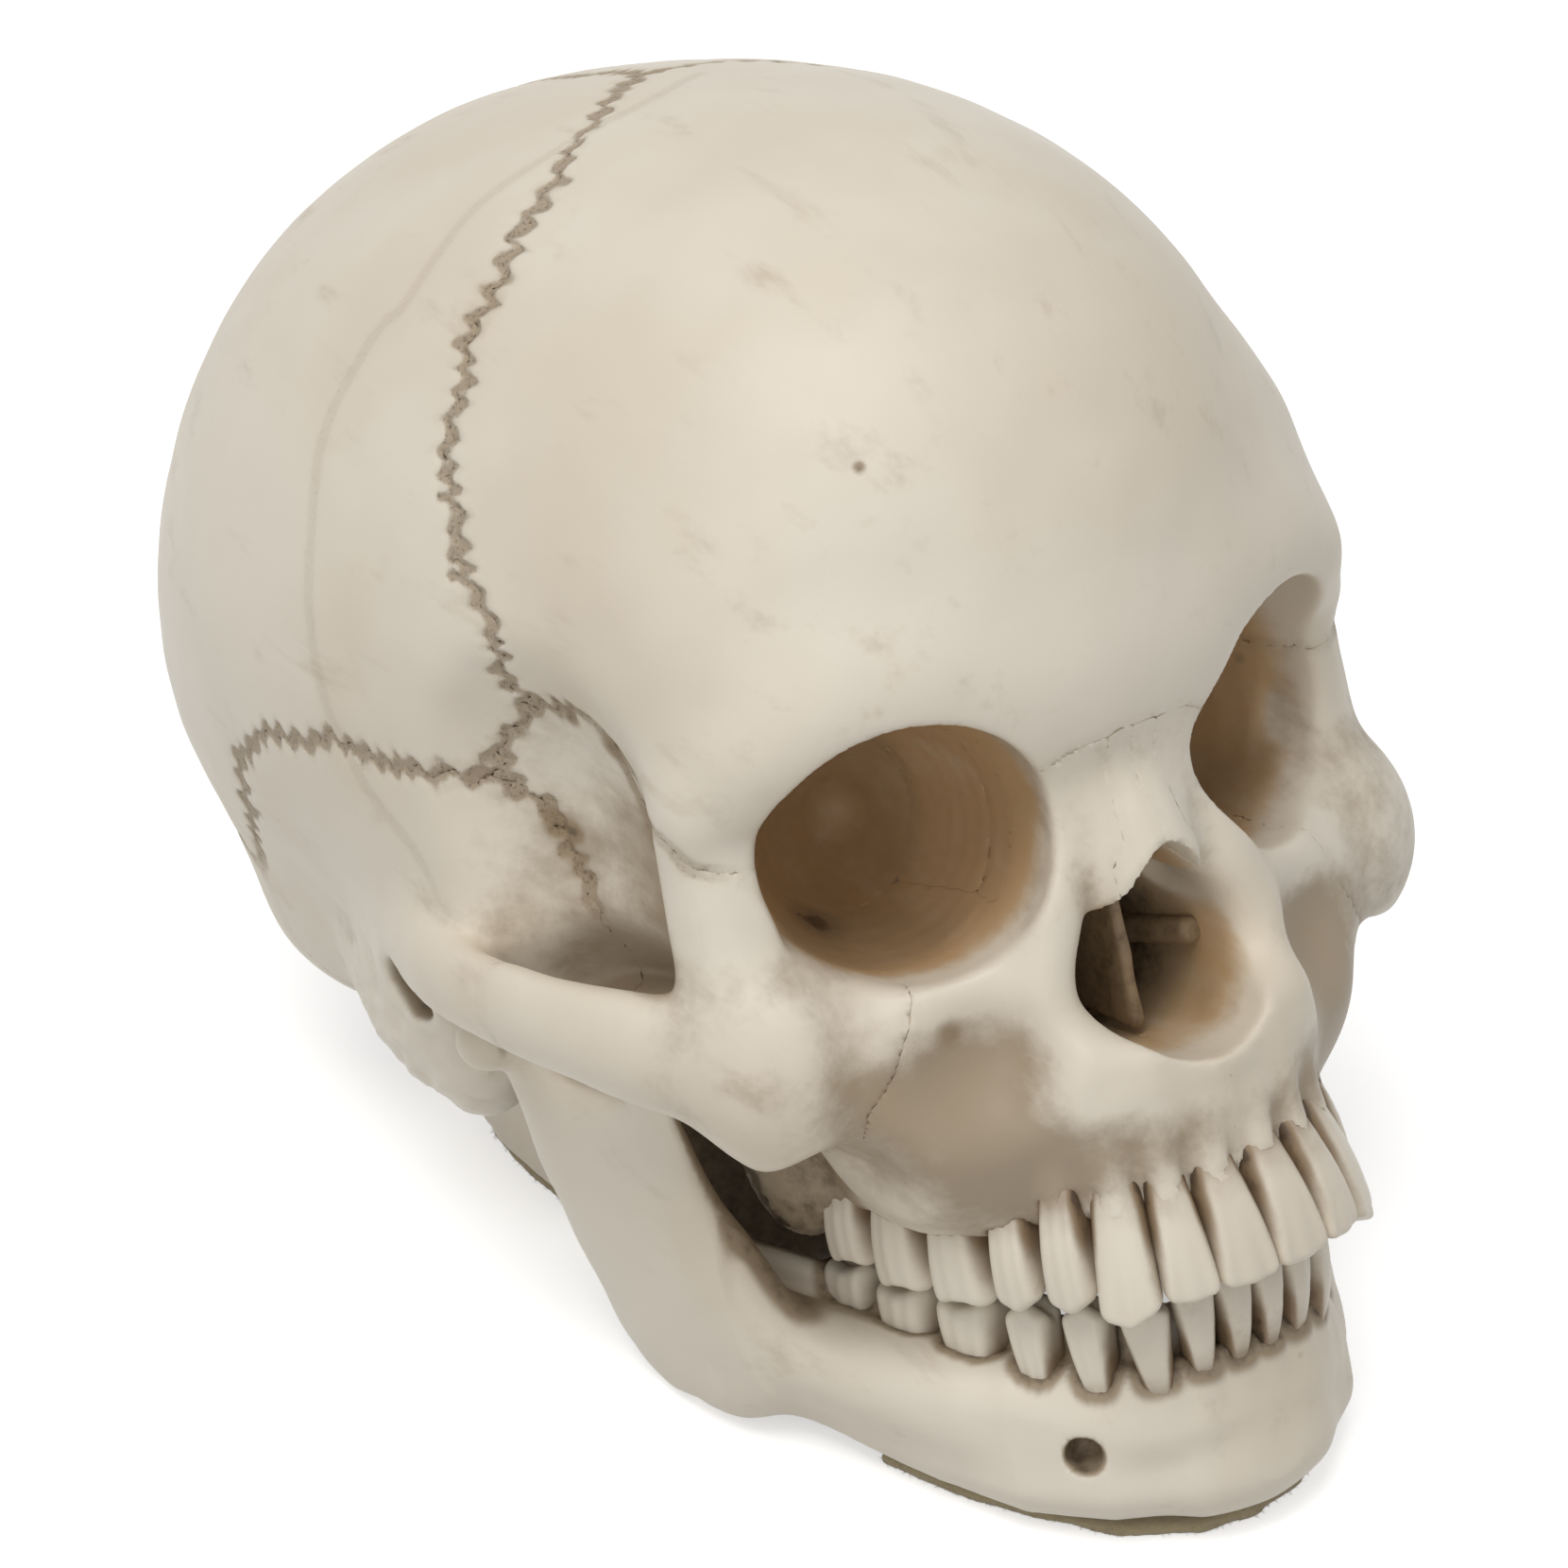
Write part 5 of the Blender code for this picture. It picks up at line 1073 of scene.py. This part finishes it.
# Felt pads. Thin tan felt is cut to the outline of the neck block and of the jaw's border and
# glued on, so that the hard resin doesn't scratch what it stands on.
felt, t, shader = new_material("tan_felt", {"Roughness": 0.95, "Sheen Weight": 0.35,
                                            "Sheen Roughness": 0.6})
spots = node(t, "ShaderNodeTexCoord").outputs["Object"]
tufts = noise(t, spots, 900, 5, 0.7)
hairs_place = node(t, "ShaderNodeMapping", {"Vector": spots, "Rotation": (0, 0, 0.7),
                                            "Scale": (1, 0.16, 1)})
hairs = noise(t, hairs_place.outputs[0], 3000, 3, 0.6)
patches = noise(t, spots, 90, 3)
felt_colour = mixed(t, tufts, (0.36, 0.29, 0.17, 1), (0.53, 0.44, 0.28, 1))
felt_colour = mixed(t, ramp(t, patches, 0.35, 0.7), felt_colour, (0.44, 0.36, 0.21, 1))
t.links.new(felt_colour, shader.inputs["Base Color"])
fuzz = maths(t, "ADD", maths(t, "MULTIPLY", tufts, 0.7), maths(t, "MULTIPLY", hairs, 0.5))
bump = node(t, "ShaderNodeBump", {"Height": fuzz, "Strength": 0.8, "Distance": 0.0006})
t.links.new(bump.outputs[0], shader.inputs["Normal"])
FIBRE_TREE = bpy.data.node_groups.new("felt_fibres", "GeometryNodeTree")
for label, kind in (("Pad", "NodeSocketGeometry"), ("Density", "NodeSocketFloat"),
                    ("Length", "NodeSocketFloat"), ("Thickness", "NodeSocketFloat"),
                    ("Seed", "NodeSocketInt"), ("Felt", "NodeSocketMaterial")):
    FIBRE_TREE.interface.new_socket(label, in_out="INPUT", socket_type=kind)
FIBRE_TREE.interface.new_socket("Fibres", in_out="OUTPUT", socket_type="NodeSocketGeometry")
t = FIBRE_TREE
given = t.nodes.new("NodeGroupInput")
upright = node(t, "ShaderNodeSeparateXYZ", {0: t.nodes.new("GeometryNodeInputNormal").outputs[0]}).outputs[2]
steep = maths(t, "ABSOLUTE", upright, 0.0)
on_edge = node(t, "FunctionNodeCompare", {"A": steep, "B": 0.6}, data_type="FLOAT", operation="LESS_THAN")
strewn = node(t, "GeometryNodeDistributePointsOnFaces", {
    "Mesh": given.outputs["Pad"], "Selection": on_edge.outputs[0], "Density": given.outputs["Density"],
    "Seed": given.outputs["Seed"]})
hair = node(t, "GeometryNodeMeshCone", {"Vertices": 3, "Radius Bottom": given.outputs["Thickness"],
                                        "Depth": given.outputs["Length"]})
leaning = node(t, "FunctionNodeRandomValue", {0: (-1.0, -1.0, -3.1), 1: (1.0, 1.0, 3.1),
                                              "Seed": given.outputs["Seed"]}, data_type="FLOAT_VECTOR")
lean = node(t, "FunctionNodeEulerToRotation", {0: leaning.outputs[0]})
turned_aside = node(t, "FunctionNodeRotateRotation", {
    "Rotation": strewn.outputs["Rotation"], "Rotate By": lean.outputs[0]}, rotation_space="LOCAL")
planted = node(t, "GeometryNodeInstanceOnPoints", {
    "Points": strewn.outputs["Points"], "Instance": hair.outputs["Mesh"],
    "Rotation": turned_aside.outputs[0]})
real = node(t, "GeometryNodeRealizeInstances", {0: planted.outputs[0]})
dyed = node(t, "GeometryNodeSetMaterial", {"Geometry": real.outputs[0], "Material": given.outputs["Felt"]})
node(t, "NodeGroupOutput", {0: dyed.outputs[0]})
SOCKETS = {item.name: item.identifier for item in t.interface.items_tree if item.in_out == "INPUT"}
FIBRES = {"Density": 2.0e6, "Length": 0.0009, "Thickness": 0.00005, "Seed": 7, "Felt": felt}
for name, body in (("neck_felt_pad", "cranium"), ("jaw_felt_pad", "jaw")):
    places, quads = softened(name, 0.12, 43, grain=0.5)
    pad = placed(f"{name}_cut", places, quads, felt, {})
    fibres = pad.modifiers.new("fibres", "NODES")
    fibres.node_group = FIBRE_TREE
    for label, value in FIBRES.items():
        fibres[SOCKETS[label]] = value
    bpy.context.view_layer.update()
    seen_from = bpy.context.evaluated_depsgraph_get()
    fuzz_mesh = bpy.data.meshes.new_from_object(pad.evaluated_get(seen_from))
    pad.modifiers.remove(fibres)
    fuzz_edge = bpy.data.objects.new(f"{name}_fibres", fuzz_mesh)
    scene.collection.objects.link(fuzz_edge)
    for piece in (pad, fuzz_edge):
        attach(piece, body)
    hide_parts(name)
